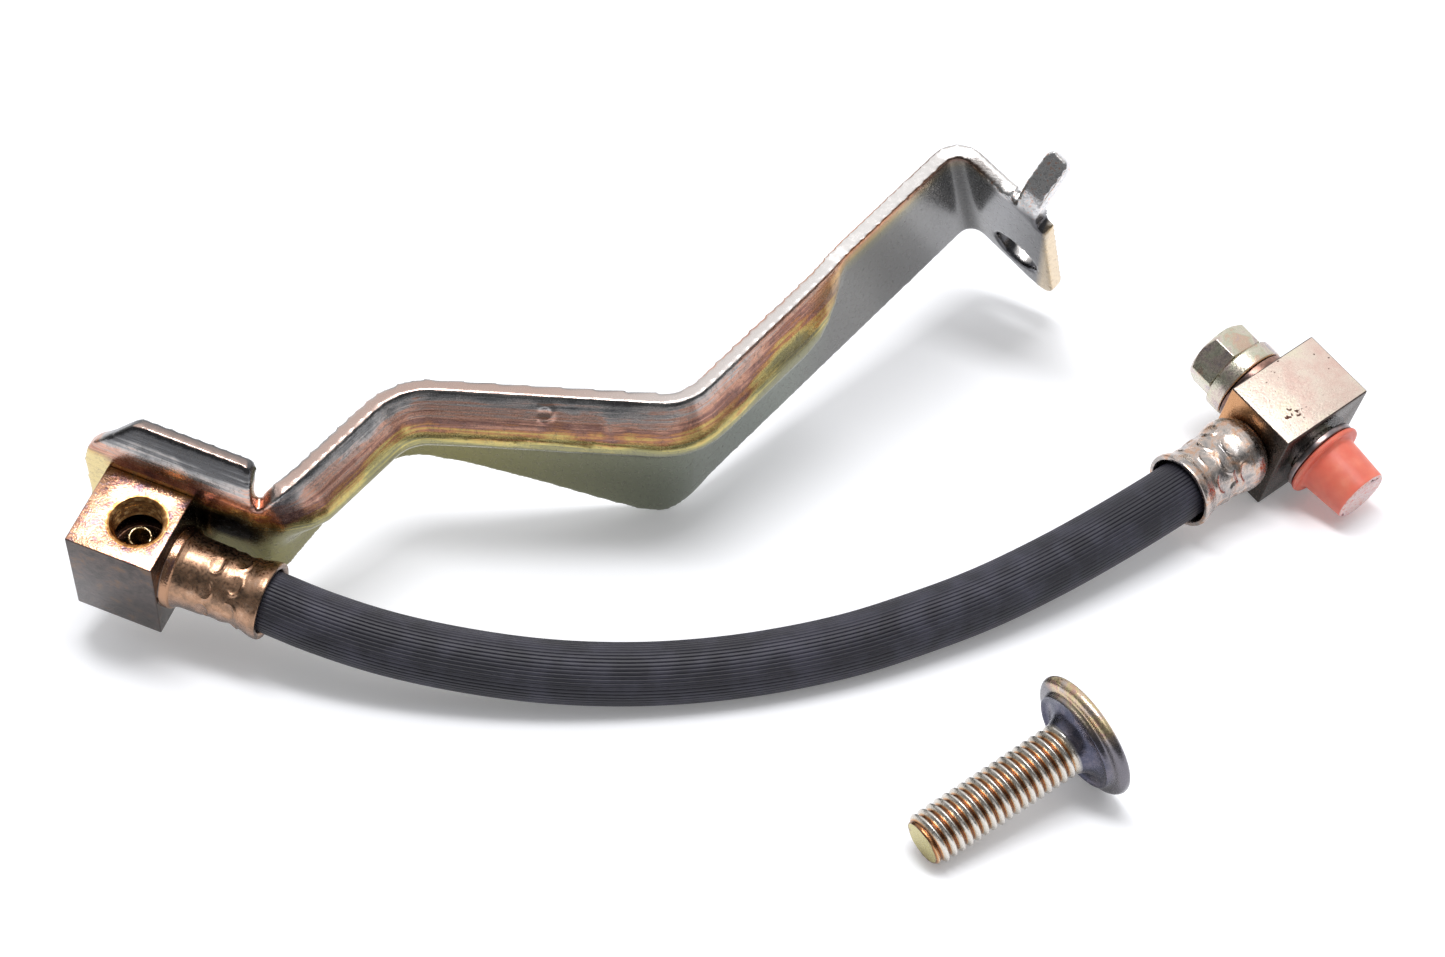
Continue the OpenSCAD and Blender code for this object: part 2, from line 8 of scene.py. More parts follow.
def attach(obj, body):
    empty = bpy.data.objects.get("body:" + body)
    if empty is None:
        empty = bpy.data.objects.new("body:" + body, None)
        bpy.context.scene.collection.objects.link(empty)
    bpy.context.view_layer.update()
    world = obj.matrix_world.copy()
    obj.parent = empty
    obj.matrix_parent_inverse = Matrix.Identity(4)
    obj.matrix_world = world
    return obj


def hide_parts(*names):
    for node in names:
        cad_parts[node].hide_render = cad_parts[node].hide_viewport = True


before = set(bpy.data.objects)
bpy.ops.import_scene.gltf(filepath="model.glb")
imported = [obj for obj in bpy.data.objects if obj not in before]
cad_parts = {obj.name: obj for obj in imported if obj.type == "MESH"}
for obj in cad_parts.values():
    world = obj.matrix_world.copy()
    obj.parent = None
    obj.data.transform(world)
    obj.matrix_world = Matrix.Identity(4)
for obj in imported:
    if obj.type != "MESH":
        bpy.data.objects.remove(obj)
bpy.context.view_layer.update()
scene = bpy.context.scene

CAMERA_PLACE = (-0.00374, -0.39746, 0.3635)
CAMERA_TILT = 49
FOCAL_PIXELS = 3000
PHOTO_PIXELS = 1445
SENSOR_WIDTH = 36
bpy.ops.object.camera_add(location=CAMERA_PLACE, rotation=(math.radians(CAMERA_TILT), 0, 0))
camera = bpy.context.object
camera.data.sensor_width = SENSOR_WIDTH
camera.data.lens = FOCAL_PIXELS / PHOTO_PIXELS * SENSOR_WIDTH
camera.data.clip_start = 0.01
scene.camera = camera
scene.view_settings.view_transform = "Standard"


# The hose is moulded rubber over braid, 10.9 mm thick, with fine ribs along its whole length.
# It is stiff enough to keep one long sweep, and lies on the table at its middle. Its route is
# in millimetres.
HOSE_ROUTE = [
    (-92.8, -22.9, 16.3), (-81.8, -26.8, 14.3), (-71.3, -30.8, 12.4), (-59.8, -33.9, 10.4),
    (-46.8, -36.0, 8.6), (-33.3, -36.9, 7.0), (-19.8, -36.5, 5.9), (-7.3, -35.2, 5.5),
    (5.2, -32.8, 5.45), (18.2, -28.9, 5.5), (30.2, -23.9, 5.9), (41.6, -18.4, 6.5),
    (53.5, -11.5, 7.6), (64.8, -4.0, 8.8), (76.2, 4.3, 10.1), (88.1, 14.1, 11.2),
]
HOSE_RADIUS = 0.00545
HOSE_RIBS = 48
GROOVE_DEPTH = 0.00017
RIB_SHAPE = ((0.0, 1), (0.14, 0.15), (0.32, 0), (0.68, 0), (0.86, 0.15))
ROUTE_STEPS = 13
HOSE_BLACK = "#22212B"
HOSE_DUST = "#3D3C4A"


def linear(hex_colour):
    """An sRGB hex value as the linear colour that Blender's sockets take."""
    parts = [int(hex_colour[i : i + 2], 16) / 255 for i in (1, 3, 5)]
    return [c / 12.92 if c <= 0.04045 else ((c + 0.055) / 1.055) ** 2.4 for c in parts] + [1]


def feed(tree, node, inputs):
    """Gives each input its value, or links it to the socket that feeds it."""
    for socket, value in inputs.items():
        if isinstance(value, bpy.types.NodeSocket):
            tree.links.new(value, node.inputs[socket])
        else:
            node.inputs[socket].default_value = value


def add(tree, kind, inputs=None, stops=(), **settings):
    """Adds one node with its settings and inputs. Stops are a colour ramp's places and hexes."""
    made = tree.nodes.new("ShaderNode" + kind)
    for name, value in settings.items():
        setattr(made, name, value)
    feed(tree, made, inputs or {})
    if stops:
        elements = made.color_ramp.elements
        while len(elements) < len(stops):
            elements.new(0.5)
        for element, (place, hex_colour) in zip(elements, stops):
            element.position = place
            element.color = linear(hex_colour)
    return made


def start_material(name):
    """A new material: its node tree and its Principled shader."""
    made = bpy.data.materials.new(name)
    made.use_nodes = True
    return made, made.node_tree, made.node_tree.nodes["Principled BSDF"]


def smooth_route(points, steps):
    """Points of one smooth curve through the route, in metres."""
    places = [Vector(p) / 1000 for p in points]
    slopes = [
        (places[min(i + 1, len(places) - 1)] - places[max(i - 1, 0)]) / 6
        for i in range(len(places))
    ]
    line = []
    for i in range(len(places) - 1):
        a, b = places[i], places[i + 1]
        line += geometry.interpolate_bezier(a, a + slopes[i], b - slopes[i + 1], b, steps)[:-1]
    return line + [places[-1]]


hose_line = smooth_route(HOSE_ROUTE, ROUTE_STEPS)
rib_curve = bpy.data.curves.new("rib_outline", "CURVE")
rib_points = []
for rib in range(HOSE_RIBS):
    for share, depth in RIB_SHAPE:
        angle = (rib + share) / HOSE_RIBS * 2 * math.pi
        radius = HOSE_RADIUS - depth * GROOVE_DEPTH
        rib_points.append((radius * math.cos(angle), radius * math.sin(angle), 0, 1))
rib_spline = rib_curve.splines.new("POLY")
rib_spline.points.add(len(rib_points) - 1)
for point, place in zip(rib_spline.points, rib_points):
    point.co = place
rib_spline.use_cyclic_u = True
rib_outline = bpy.data.objects.new("rib_outline", rib_curve)
scene.collection.objects.link(rib_outline)

hose_curve = bpy.data.curves.new("hose_curve", "CURVE")
hose_curve.dimensions = "3D"
hose_spline = hose_curve.splines.new("POLY")
hose_spline.points.add(len(hose_line) - 1)
for point, place in zip(hose_spline.points, hose_line):
    point.co = (*place, 1)
hose_curve.bevel_mode = "OBJECT"
hose_curve.bevel_object = rib_outline
hose_curve.use_fill_caps = True
hose = bpy.data.objects.new("ribbed_hose", hose_curve)
scene.collection.objects.link(hose)
bpy.ops.object.select_all(action="DESELECT")
hose.select_set(True)
bpy.context.view_layer.objects.active = hose
bpy.ops.object.convert(target="MESH")
bpy.data.objects.remove(rib_outline)
bpy.ops.object.shade_smooth_by_angle(angle=math.radians(50))

# Vulcanised rubber: matt blue-black, with pale dust in random patches
rubber, tree, shader = start_material("vulcanised_rubber")
at = add(tree, "TexCoord").outputs["Object"]
mottle = add(tree, "TexNoise", {"Vector": at, "Scale": 160, "Detail": 4}).outputs["Fac"]
dust = add(tree, "MapRange", {"Value": mottle, "From Min": 0.42, "From Max": 0.75}).outputs[0]
colour = add(tree, "Mix", {"Factor": dust, "A": linear(HOSE_BLACK), "B": linear(HOSE_DUST)},
             data_type="RGBA").outputs["Result"]
grain = add(tree, "TexNoise", {"Vector": at, "Scale": 1800, "Detail": 3}).outputs["Fac"]
bump = add(tree, "Bump", {"Height": grain, "Strength": 0.25, "Distance": 0.0002}).outputs[0]
feed(tree, shader, {"Roughness": 0.52, "Base Color": colour, "Normal": bump})
hose.data.materials.clear()
hose.data.materials.append(rubber)
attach(hose, "hose_assembly")
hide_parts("hose")


# The bracket is one strip of 3 mm steel, blanked, pressed, folded and then zinc plated. The
# inlet block's tenon is staked through its end. Tumbling before plating rounded its edges.
INLET_PLACE = (-0.104, -0.019, 0.0184)
INLET_TURN = [math.radians(a) for a in (14.7, 9.8, -19.3)]
INLET_MM = {"Location": INLET_PLACE, "Rotation": INLET_TURN, "Scale": (0.001, 0.001, 0.001)}
SHEET_VOXEL = 0.00042
TUMBLING = 7
NICK_AT = (56.2, 45.6, 13.7)
NICK_OUT = (0.28, -0.79, 0.54)
NICK_REACH = 0.003
BURR_RADIUS = 1.3
BURR_WIDTH = 0.38
BURR_HEIGHT = 0.2
BURR_OPENS_AT = 0.8
HOLLOW_RADIUS = 0.7
HOLLOW_DEPTH = 0.05
HOSE_REFLECTION_AT = (13.0, 8.0, 5.2)


def merged_copy(node, name):
    """A copy of a CAD node with its triangles joined, alone selected and active."""
    bpy.ops.object.select_all(action="DESELECT")
    copy = bpy.data.objects.new(name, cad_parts[node].data.copy())
    scene.collection.objects.link(copy)
    copy.select_set(True)
    bpy.context.view_layer.objects.active = copy
    bpy.ops.object.mode_set(mode="EDIT")
    bpy.ops.mesh.select_all(action="SELECT")
    bpy.ops.mesh.remove_doubles(threshold=0.00001)
    bpy.ops.mesh.tris_convert_to_quads(
        face_threshold=math.radians(5), shape_threshold=math.radians(179)
    )
    bpy.ops.object.mode_set(mode="OBJECT")
    return copy


def round_edges(piece, width, angle=35, segments=3, smooth=40):
    """Rounds the edges that turn more than the angle, and shades the rest smooth."""
    edge_round = piece.modifiers.new("edge_round", "BEVEL")
    edge_round.width = width
    edge_round.segments = segments
    edge_round.limit_method = "ANGLE"
    edge_round.angle_limit = math.radians(angle)
    edge_round.use_clamp_overlap = False
    bpy.ops.object.modifier_apply(modifier=edge_round.name)
    bpy.ops.object.shade_smooth_by_angle(angle=math.radians(smooth))


def finish(piece, material, body, slot, *nodes):
    """Gives a piece its material, and says what it rides on and replaces."""
    piece.data.materials.clear()
    piece.data.materials.append(material)
    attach(piece, body)
    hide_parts(*nodes)


bracket = merged_copy("bracket", "plated_bracket")
remesh = bracket.modifiers.new("even_skin", "REMESH")
remesh.mode = "VOXEL"
remesh.voxel_size = SHEET_VOXEL
bpy.ops.object.modifier_apply(modifier=remesh.name)
tumbled = bracket.modifiers.new("tumbled_edges", "SMOOTH")
tumbled.factor = 0.5
tumbled.iterations = TUMBLING
bpy.ops.object.modifier_apply(modifier=tumbled.name)
inlet_frame = Matrix.LocRotScale(INLET_PLACE, Euler(INLET_TURN), None)
inlet_up = inlet_frame.to_3x3() @ Vector((0, 0, 1))

# A tool has left one small nick under the rib, with a burr round it that is open on one side
nick_place = inlet_frame @ (Vector(NICK_AT) / 1000)
nick_out = inlet_frame.to_3x3() @ Vector(NICK_OUT)
nick_side = nick_out.cross(Vector((0, 0, 1))).normalized()
nick_up = nick_side.cross(nick_out)
for vertex in bracket.data.vertices:
    gap = vertex.co - nick_place
    if gap.length > NICK_REACH:
        continue
    sideways = gap.dot(nick_side) * 1000
    upward = gap.dot(nick_up) * 1000
    away = math.hypot(sideways, upward)
    burr = BURR_HEIGHT * math.exp(-((away - BURR_RADIUS) / BURR_WIDTH) ** 2)
    hollow = HOLLOW_DEPTH * math.exp(-(away / HOLLOW_RADIUS) ** 2)
    vertex.co += nick_out * (burr * (sideways < BURR_OPENS_AT) - hollow) / 1000
bpy.ops.object.shade_smooth()

# Yellow chromated zinc, its colour laid in bands by height along the pressing: grey-green on
# the web, yellow under the rib, pink and orange streaks on its slope, and dark grey above and
# round the fold. The grey-green, pink and orange are the film's own tint. The bright yellow under
# the rib is partly painted reflection of the white paper, the dark grey above the rib is painted
# reflection of the dark room, and the dark grey round the fold is painted reflection of the
# bracket's shadow on the paper. The sheared edges are nearly bare; those facing up are painted
# near white, partly bare metal and partly a painted highlight.
chromate, tree, shader = start_material("yellow_chromated_zinc")
at = add(tree, "TexCoord").outputs["Object"]
mm = add(tree, "Mapping", {"Vector": at, **INLET_MM}, vector_type="TEXTURE").outputs[0]
parts = add(tree, "SeparateXYZ", {0: mm}).outputs
drift = add(tree, "TexNoise", {"Vector": mm, "Scale": 0.07, "Detail": 3, "Roughness": 0.6,
                               "Distortion": 0.8}).outputs["Fac"]
along = add(tree, "Mapping", {"Vector": mm, "Scale": (0.05, 0.05, 2.1)}).outputs[0]
streak = add(tree, "TexNoise", {"Vector": along, "Scale": 1, "Detail": 4}).outputs["Fac"]
blotch = add(tree, "TexNoise", {"Vector": mm, "Scale": 1.2, "Detail": 6,
                                "Roughness": 0.7}).outputs["Fac"]
flange = add(tree, "MapRange", {"Value": parts["X"], "From Min": 23, "From Max": 18}).outputs[0]
rib_end = add(tree, "MapRange", {"Value": parts["Y"], "From Min": 52, "From Max": 76}).outputs[0]
level = add(tree, "Math", {0: parts["Z"], 1: 0.05}, operation="MULTIPLY").outputs[0]
level = add(tree, "Math", {0: flange, 1: -0.06, 2: level}, operation="MULTIPLY_ADD").outputs[0]
level = add(tree, "Math", {0: rib_end, 1: -0.11, 2: level}, operation="MULTIPLY_ADD").outputs[0]
wander = add(tree, "Math", {0: drift, 1: streak}, operation="ADD").outputs[0]
wander = add(tree, "MapRange", {"Value": wander, "From Min": 0.6, "From Max": 1.4,
                                "To Min": -0.14, "To Max": 0.14}).outputs[0]
level = add(tree, "Math", {0: level, 1: wander}, operation="ADD").outputs[0]
# The ramp is partly the film's tint and partly painted reflection: yellow low down, dark grey high
# up
film_and_reflection_bands = add(tree, "ValToRGB", {"Fac": level}, stops=(
    (0.0, "#8A8A74"), (0.3, "#8C8A6E"), (0.37, "#A49E70"), (0.42, "#D0C07C"), (0.47, "#CCAA6A"),
    (0.51, "#C08862"), (0.56, "#94706A"), (0.62, "#D8A48C"), (0.66, "#B8A49C"),
    (0.69, "#DDAA94"), (0.73, "#C4BCB8"), (0.79, "#9A9A9A"), (0.84, "#6C6C6E"),
    (0.95, "#5E5E60"),
)).outputs["Color"]
far_web = add(tree, "MapRange", {"Value": parts["X"], "From Min": 42, "From Max": 84}).outputs[0]
web_film = add(tree, "Mix", {"Factor": far_web, "A": linear("#8E8856"), "B": linear("#7E8680")},
               data_type="RGBA").outputs["Result"]
on_web = add(tree, "MapRange", {"Value": parts["Z"], "From Min": 7.4, "From Max": 5.6}).outputs[0]
on_web = add(tree, "Math", {0: on_web, 1: 0.8}, operation="MULTIPLY").outputs[0]
on_leg = add(tree, "MapRange", {"Value": parts["Y"], "From Min": 84, "From Max": 97}).outputs[0]
height = add(tree, "Math", {0: parts["Z"], 1: 0.05}, operation="MULTIPLY").outputs[0]
leg_film = add(tree, "ValToRGB", {"Fac": height}, stops=(
    (0.0, "#747370"), (0.5, "#74736F"), (0.64, "#8A866A"), (0.72, "#C2A262"), (0.8, "#C89070"),
)).outputs["Color"]
# Round the fold and over the end plate the colour is painted dark grey: painted reflection of the
# bracket's shadow on the paper
at_fold = add(tree, "MapRange", {"Value": parts["Y"], "From Min": 106, "From Max": 127,
                                 "To Max": 0.85}).outputs[0]
on_plate = add(tree, "MapRange", {"Value": parts["X"], "From Min": 109, "From Max": 115}).outputs[0]
plate_edge = add(tree, "MapRange", {"Value": parts["X"], "From Min": 123,
                                    "From Max": 124.5}).outputs[0]
plate_top = add(tree, "MapRange", {"Value": parts["Z"], "From Min": 12, "From Max": 14}).outputs[0]
on_tab = add(tree, "Math", {0: on_plate, 1: plate_top}, operation="MULTIPLY").outputs[0]
tab_film = add(tree, "ValToRGB", {"Fac": blotch}, stops=(
    (0.38, "#E0B09C"), (0.44, "#E8E8E8"), (0.6, "#D4D4D6"),
)).outputs["Color"]
# The lower left end is painted light yellow: partly the film, partly painted reflection of the
# white paper
left_end = add(tree, "MapRange", {"Value": parts["X"], "From Min": -6, "From Max": -9}).outputs[0]
below = add(tree, "MapRange", {"Value": parts["Z"], "From Min": 14, "From Max": 12}).outputs[0]
left_end = add(tree, "Math", {0: left_end, 1: below}, operation="MULTIPLY").outputs[0]
dull = add(tree, "MapRange", {"Value": blotch, "From Min": 0.5, "From Max": 0.7,
                              "To Max": 0.4}).outputs[0]
# A dark patch beside the inlet block is painted near black: a painted reflection of the black hose
painted_hose_reflection = add(tree, "VectorMath", {0: mm, 1: HOSE_REFLECTION_AT}, operation="SUBTRACT").outputs[0]
painted_hose_reflection = add(tree, "VectorMath", {0: painted_hose_reflection, 1: (0.15, 0.12, 0.3)},
             operation="MULTIPLY").outputs[0]
painted_hose_reflection = add(tree, "VectorMath", {0: painted_hose_reflection}, operation="LENGTH").outputs["Value"]
painted_hose_reflection = add(tree, "Math", {0: painted_hose_reflection, 1: drift}, operation="ADD").outputs[0]
painted_hose_reflection = add(tree, "MapRange", {"Value": painted_hose_reflection, "From Min": 1.7, "From Max": 1.2}).outputs[0]
normal = add(tree, "TexCoord").outputs["Normal"]
lean = add(tree, "VectorMath", {0: normal, 1: inlet_up}, operation="DOT_PRODUCT").outputs["Value"]
# Faces that turn up are painted near white, lighter to the right: partly bare sheared metal, partly
# a painted highlight
cut = add(tree, "MapRange", {"Value": lean, "From Min": 0.84, "From Max": 0.95}).outputs[0]
highlight_to_the_right = add(tree, "MapRange", {"Value": parts["X"], "From Min": 55,
                                    "From Max": 90}).outputs[0]
bare_edge_and_highlight = add(tree, "Mix", {"Factor": highlight_to_the_right, "A": linear("#C4ACA2"), "B": linear("#E6E2E0")},
               data_type="RGBA").outputs["Result"]
colour = film_and_reflection_bands
for share, over in (
    (on_web, web_film), (on_leg, leg_film), (at_fold, linear("#4E4E4F")),
    (on_plate, linear("#626266")), (plate_edge, linear("#DCC6A4")), (on_tab, tab_film),
    (left_end, linear("#DCC890")), (dull, linear("#7E7A76")), (painted_hose_reflection, linear("#241E1A")),
    (cut, bare_edge_and_highlight),
):
    colour = add(tree, "Mix", {"Factor": share, "A": colour, "B": over},
                 data_type="RGBA").outputs["Result"]
rough = add(tree, "MapRange", {"Value": blotch, "From Min": 0.3, "From Max": 0.7,
                               "To Min": 0.17, "To Max": 0.32}).outputs[0]
lines = add(tree, "Mapping", {"Vector": mm, "Scale": (0.12, 0.12, 6)}).outputs[0]
lines = add(tree, "TexNoise", {"Vector": lines, "Scale": 1, "Detail": 3}).outputs["Fac"]
grain = add(tree, "TexNoise", {"Vector": mm, "Scale": 3, "Detail": 4}).outputs["Fac"]
relief = add(tree, "Math", {0: lines, 1: grain}, operation="ADD").outputs[0]
bump = add(tree, "Bump", {"Height": relief, "Strength": 0.07, "Distance": 0.0002}).outputs[0]
feed(tree, shader, {"Base Color": colour, "Roughness": rough, "Normal": bump, "Metallic": 1})
finish(bracket, chromate, "hose_assembly", "zinc_plated_steel", "bracket")


# The inlet block is sawn off square brass bar, and is turned on its hose side. The flare port
# is tapped 3/8-24 down to the seat, so its thread is a helix of 1.06 mm pitch.
BRASS_EDGE = 0.00022
PORT_RADIUS = 0.0047625
PORT_CREST = PORT_RADIUS - 0.00056
PORT_ROOT = PORT_RADIUS - 0.00004
PORT_SKIN = PORT_RADIUS + 0.0001
PORT_PITCH = 0.0010583
PORT_TURNS = 4
PORT_OFFSET = 0.0015
PORT_TOP = 0.0105
PORT_MOUTH = 0.0004
PORT_LIP_MM = [
    (0.5, 0), (0.02, 0), (-0.06, -0.04), (-0.5, -0.42), (-0.52, -0.6), (0.1, -0.9), (0.5, 0),
]


def outline_object(name, points):
    """An open chain of edges through points in the XZ plane, alone selected and active."""
    bpy.ops.object.select_all(action="DESELECT")
    mesh = bpy.data.meshes.new(name)
    mesh.from_pydata([(x, 0, z) for x, z in points],
                     [(i, i + 1) for i in range(len(points) - 1)], [])
    chain = bpy.data.objects.new(name, mesh)
    scene.collection.objects.link(chain)
    chain.select_set(True)
    bpy.context.view_layer.objects.active = chain
    return chain


def spun(name, points, steps):
    """The outline turned about Z into a closed solid."""
    solid = outline_object(name, points)
    bpy.ops.object.mode_set(mode="EDIT")
    bpy.ops.mesh.select_all(action="SELECT")
    bpy.ops.mesh.spin(steps=steps, angle=2 * math.pi, center=(0, 0, 0), axis=(0, 0, 1))
    bpy.ops.mesh.select_all(action="SELECT")
    bpy.ops.mesh.remove_doubles(threshold=0.000001)
    bpy.ops.mesh.normals_make_consistent(inside=False)
    bpy.ops.object.mode_set(mode="OBJECT")
    return solid


def helix(name, outline, pitch, turns, steps):
    """A thread: one pitch of outline, screwed up Z."""
    thread = outline_object(name, outline)
    screw = thread.modifiers.new("helix", "SCREW")
    screw.axis = "Z"
    screw.angle = 2 * math.pi
    screw.screw_offset = pitch
    screw.iterations = turns
    screw.steps = steps
    screw.render_steps = steps
    screw.use_merge_vertices = False
    bpy.ops.object.modifier_apply(modifier=screw.name)
    bpy.ops.object.mode_set(mode="EDIT")
    bpy.ops.mesh.select_all(action="SELECT")
    bpy.ops.mesh.remove_doubles(threshold=0.000002)
    bpy.ops.object.mode_set(mode="OBJECT")
    return thread


inlet_block = merged_copy("inlet_block", "brass_inlet_block")
round_edges(inlet_block, BRASS_EDGE)
port_thread = helix("port_thread", [
    (PORT_SKIN, 0), (PORT_ROOT, 0.00008), (PORT_CREST, 0.00046),
    (PORT_CREST, 0.0006), (PORT_ROOT, 0.00098), (PORT_SKIN, PORT_PITCH),
], PORT_PITCH, PORT_TURNS, steps=64)
for vertex in port_thread.data.vertices:
    vertex.co.z += PORT_TOP - PORT_MOUTH - (PORT_TURNS + 1) * PORT_PITCH
    vertex.co.z = min(vertex.co.z, PORT_TOP - PORT_MOUTH)
port_lip = spun("port_lip", [
    (PORT_RADIUS + out / 1000, PORT_TOP + up / 1000) for out, up in PORT_LIP_MM
], steps=96)
port_thread.select_set(True)
bpy.ops.object.join()
port_thread = port_lip
port_thread.name = "port_thread"
port_thread.data.transform(inlet_frame @ Matrix.Translation((PORT_OFFSET, 0, 0)))
bpy.ops.object.shade_smooth_by_angle(angle=math.radians(30))

# Cut brass that has stood for years: pinkish gold on top where the saw left it, with purple-grey
# spots. The sides are darker brown-grey than the top, partly brown tarnish and partly painted
# shade, the reflection of the shaded paper at the block's foot.
brass, tree, shader = start_material("tarnished_brass")
at = add(tree, "TexCoord").outputs["Object"]
mm = add(tree, "Mapping", {"Vector": at, **INLET_MM}, vector_type="TEXTURE").outputs[0]
patch = add(tree, "TexNoise", {"Vector": mm, "Scale": 0.45, "Detail": 6,
                               "Roughness": 0.65}).outputs["Fac"]
top = add(tree, "ValToRGB", {"Fac": patch}, stops=(
    (0.34, "#806468"), (0.43, "#AC7E6C"), (0.52, "#CC9C7C"), (0.6, "#D8AE8E"),
    (0.72, "#B88A76"),
)).outputs["Color"]
side = add(tree, "ValToRGB", {"Fac": patch}, stops=(
    (0.35, "#4A4644"), (0.54, "#5C5452"), (0.66, "#6E5A4C"), (0.78, "#8A6844"),
)).outputs["Color"]
parts = add(tree, "SeparateXYZ", {0: mm}).outputs
turned = add(tree, "MapRange", {"Value": parts["X"], "From Min": 8.0, "From Max": 8.2}).outputs[0]
side = add(tree, "Mix", {"Factor": turned, "A": side, "B": linear("#B28A6E")},
           data_type="RGBA").outputs["Result"]
fine_spots = add(tree, "TexNoise", {"Vector": mm, "Scale": 1.5, "Detail": 5}).outputs["Fac"]
fine_spots = add(tree, "MapRange", {"Value": fine_spots, "From Min": 0.54, "From Max": 0.66,
                                    "To Max": 0.7}).outputs[0]
top = add(tree, "Mix", {"Factor": fine_spots, "A": top, "B": linear("#94808A")},
          data_type="RGBA").outputs["Result"]
inner = add(tree, "MapRange", {"Value": parts["Z"], "From Min": 9.4, "From Max": 8.8}).outputs[0]
off_port = add(tree, "VectorMath", {0: mm, 1: (1000 * PORT_OFFSET, 0, 0)},
               operation="SUBTRACT").outputs[0]
off_port = add(tree, "VectorMath", {0: off_port, 1: (1, 1, 0)}, operation="MULTIPLY").outputs[0]
off_port = add(tree, "VectorMath", {0: off_port}, operation="LENGTH").outputs["Value"]
# The seat's ring is painted bright gold: a painted highlight inside the dark port
near_seat = add(tree, "MapRange", {"Value": off_port, "From Min": 2.8, "From Max": 2.4}).outputs[0]
seat = add(tree, "Math", {0: inner, 1: near_seat}, operation="MULTIPLY").outputs[0]
# The bore in the seat is painted near black: painted shade
painted_bore_shade = add(tree, "MapRange", {"Value": off_port, "From Min": 1.62, "From Max": 1.56}).outputs[0]
painted_bore_shade = add(tree, "Math", {0: inner, 1: painted_bore_shade}, operation="MULTIPLY").outputs[0]
normal = add(tree, "TexCoord").outputs["Normal"]
lean = add(tree, "VectorMath", {0: normal, 1: inlet_up}, operation="DOT_PRODUCT").outputs["Value"]
# Top and sides are lit and shaded copies: the sides are painted darker, partly as painted shade
face = add(tree, "MapRange", {"Value": lean, "From Min": 0.55, "From Max": 0.85}).outputs[0]
colour = side
for share, over in (
    (face, top), (seat, linear("#FFE2B0")), (painted_bore_shade, linear("#1C1410")),
):
    colour = add(tree, "Mix", {"Factor": share, "A": colour, "B": over},
                 data_type="RGBA").outputs["Result"]
speck = add(tree, "TexNoise", {"Vector": mm, "Scale": 3, "Detail": 4}).outputs["Fac"]
rough = add(tree, "MapRange", {"Value": speck, "From Min": 0.3, "From Max": 0.7,
                               "To Min": 0.18, "To Max": 0.28}).outputs[0]
bump = add(tree, "Bump", {"Height": speck, "Strength": 0.3, "Distance": 0.0002}).outputs[0]
feed(tree, shader, {"Base Color": colour, "Roughness": rough, "Normal": bump, "Metallic": 1})
finish(inlet_block, brass, "hose_assembly", "inlet_brass", "inlet_block")

# Cut brass in the port's thread, brown in patches where oil dried
cut_brass, tree, shader = start_material("cut_brass_thread")
at = add(tree, "TexCoord").outputs["Object"]
patch = add(tree, "TexNoise", {"Vector": at, "Scale": 900, "Detail": 4}).outputs["Fac"]
colour = add(tree, "ValToRGB", {"Fac": patch}, stops=(
    (0.35, "#8A5C38"), (0.55, "#BC8852"), (0.7, "#E8BC88"),
)).outputs["Color"]
feed(tree, shader, {"Base Color": colour, "Metallic": 1, "Roughness": 0.2})
port_thread.data.materials.append(cut_brass)
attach(port_thread, "hose_assembly")


# The inlet ferrule is a cup drawn from brass sheet. Jaws press it on the hose in rows of
# small dents, and each jaw leaves a curled burr at its edge. An outline's points are radius
# and height in millimetres.
INLET_FERRULE_AT = 10.4375
INLET_FERRULE = [
    (2.5, -0.8), (6.88, -0.8), (6.7, -0.4), (6.5, 0.1), (6.4, 0.8), (6.36, 2.4), (6.33, 4.2),
    (6.2, 5.0), (6.12, 6.2), (6.16, 7.2), (6.24, 7.9), (6.14, 8.8), (6.1, 10.2), (6.16, 11.1),
    (6.38, 12.1), (6.7, 13.1), (6.86, 13.8), (6.94, 14.5), (6.9, 14.9), (6.78, 15.1),
    (6.1, 15.1), (5.8, 14.9), (5.5, 14.2), (5.45, 13.6), (5.45, 1.2), (2.5, 1.2), (2.5, -0.8),
]
FERRULE_STEPS = 240
OUTLINE_STEP = 0.2


def fine_outline(points, step):
    """The outline in metres, with points no further apart than the step in millimetres."""
    fine = []
    for (r0, z0), (r1, z1) in zip(points, points[1:]):
        parts = max(1, math.ceil(math.hypot(r1 - r0, z1 - z0) / step))
        fine += [(r0 + (r1 - r0) * i / parts, z0 + (z1 - z0) * i / parts) for i in range(parts)]
    return [(r / 1000, z / 1000) for r, z in fine + [points[-1]]]


def crimp(piece, inner_radius, rows, jaws, size, depth, lip, seed):
    """Presses the rows of jaw dents into the outside, each with a curled burr on one side."""
    chance = random.Random(seed)
    dents = []
    for row, height in enumerate(rows):
        for jaw in range(jaws):
            turn = (jaw + 0.5 * (row % 2) + chance.uniform(-0.08, 0.08)) * 2 * math.pi / jaws
            dents.append((turn, height + chance.uniform(-0.3, 0.3), chance.uniform(0.6, 1.2),
                          chance.uniform(-0.9, 0.9)))
    for vertex in piece.data.vertices:
        place = vertex.co
        radius = math.hypot(place.x, place.y)
        if radius * 1000 < inner_radius:
            continue
        angle = math.atan2(place.y, place.x)
        change = 0
        for turn, height, weight, open_side in dents:
            across = (angle - turn + math.pi) % (2 * math.pi) - math.pi
            across = across * radius * 1000 / size[0]
            along = (place.z * 1000 - height) / size[1]
            away = math.hypot(across, along)
            if away > 1.6:
                continue
            change -= depth * weight * max(0, 1 - away ** 2)
            around = math.cos(math.atan2(across, along) - open_side)
            change += lip * weight * math.exp(-((away - 1) / 0.16) ** 2) * max(0, around) ** 0.7
        grown = (radius + change / 1000) / radius
        place.x *= grown
        place.y *= grown


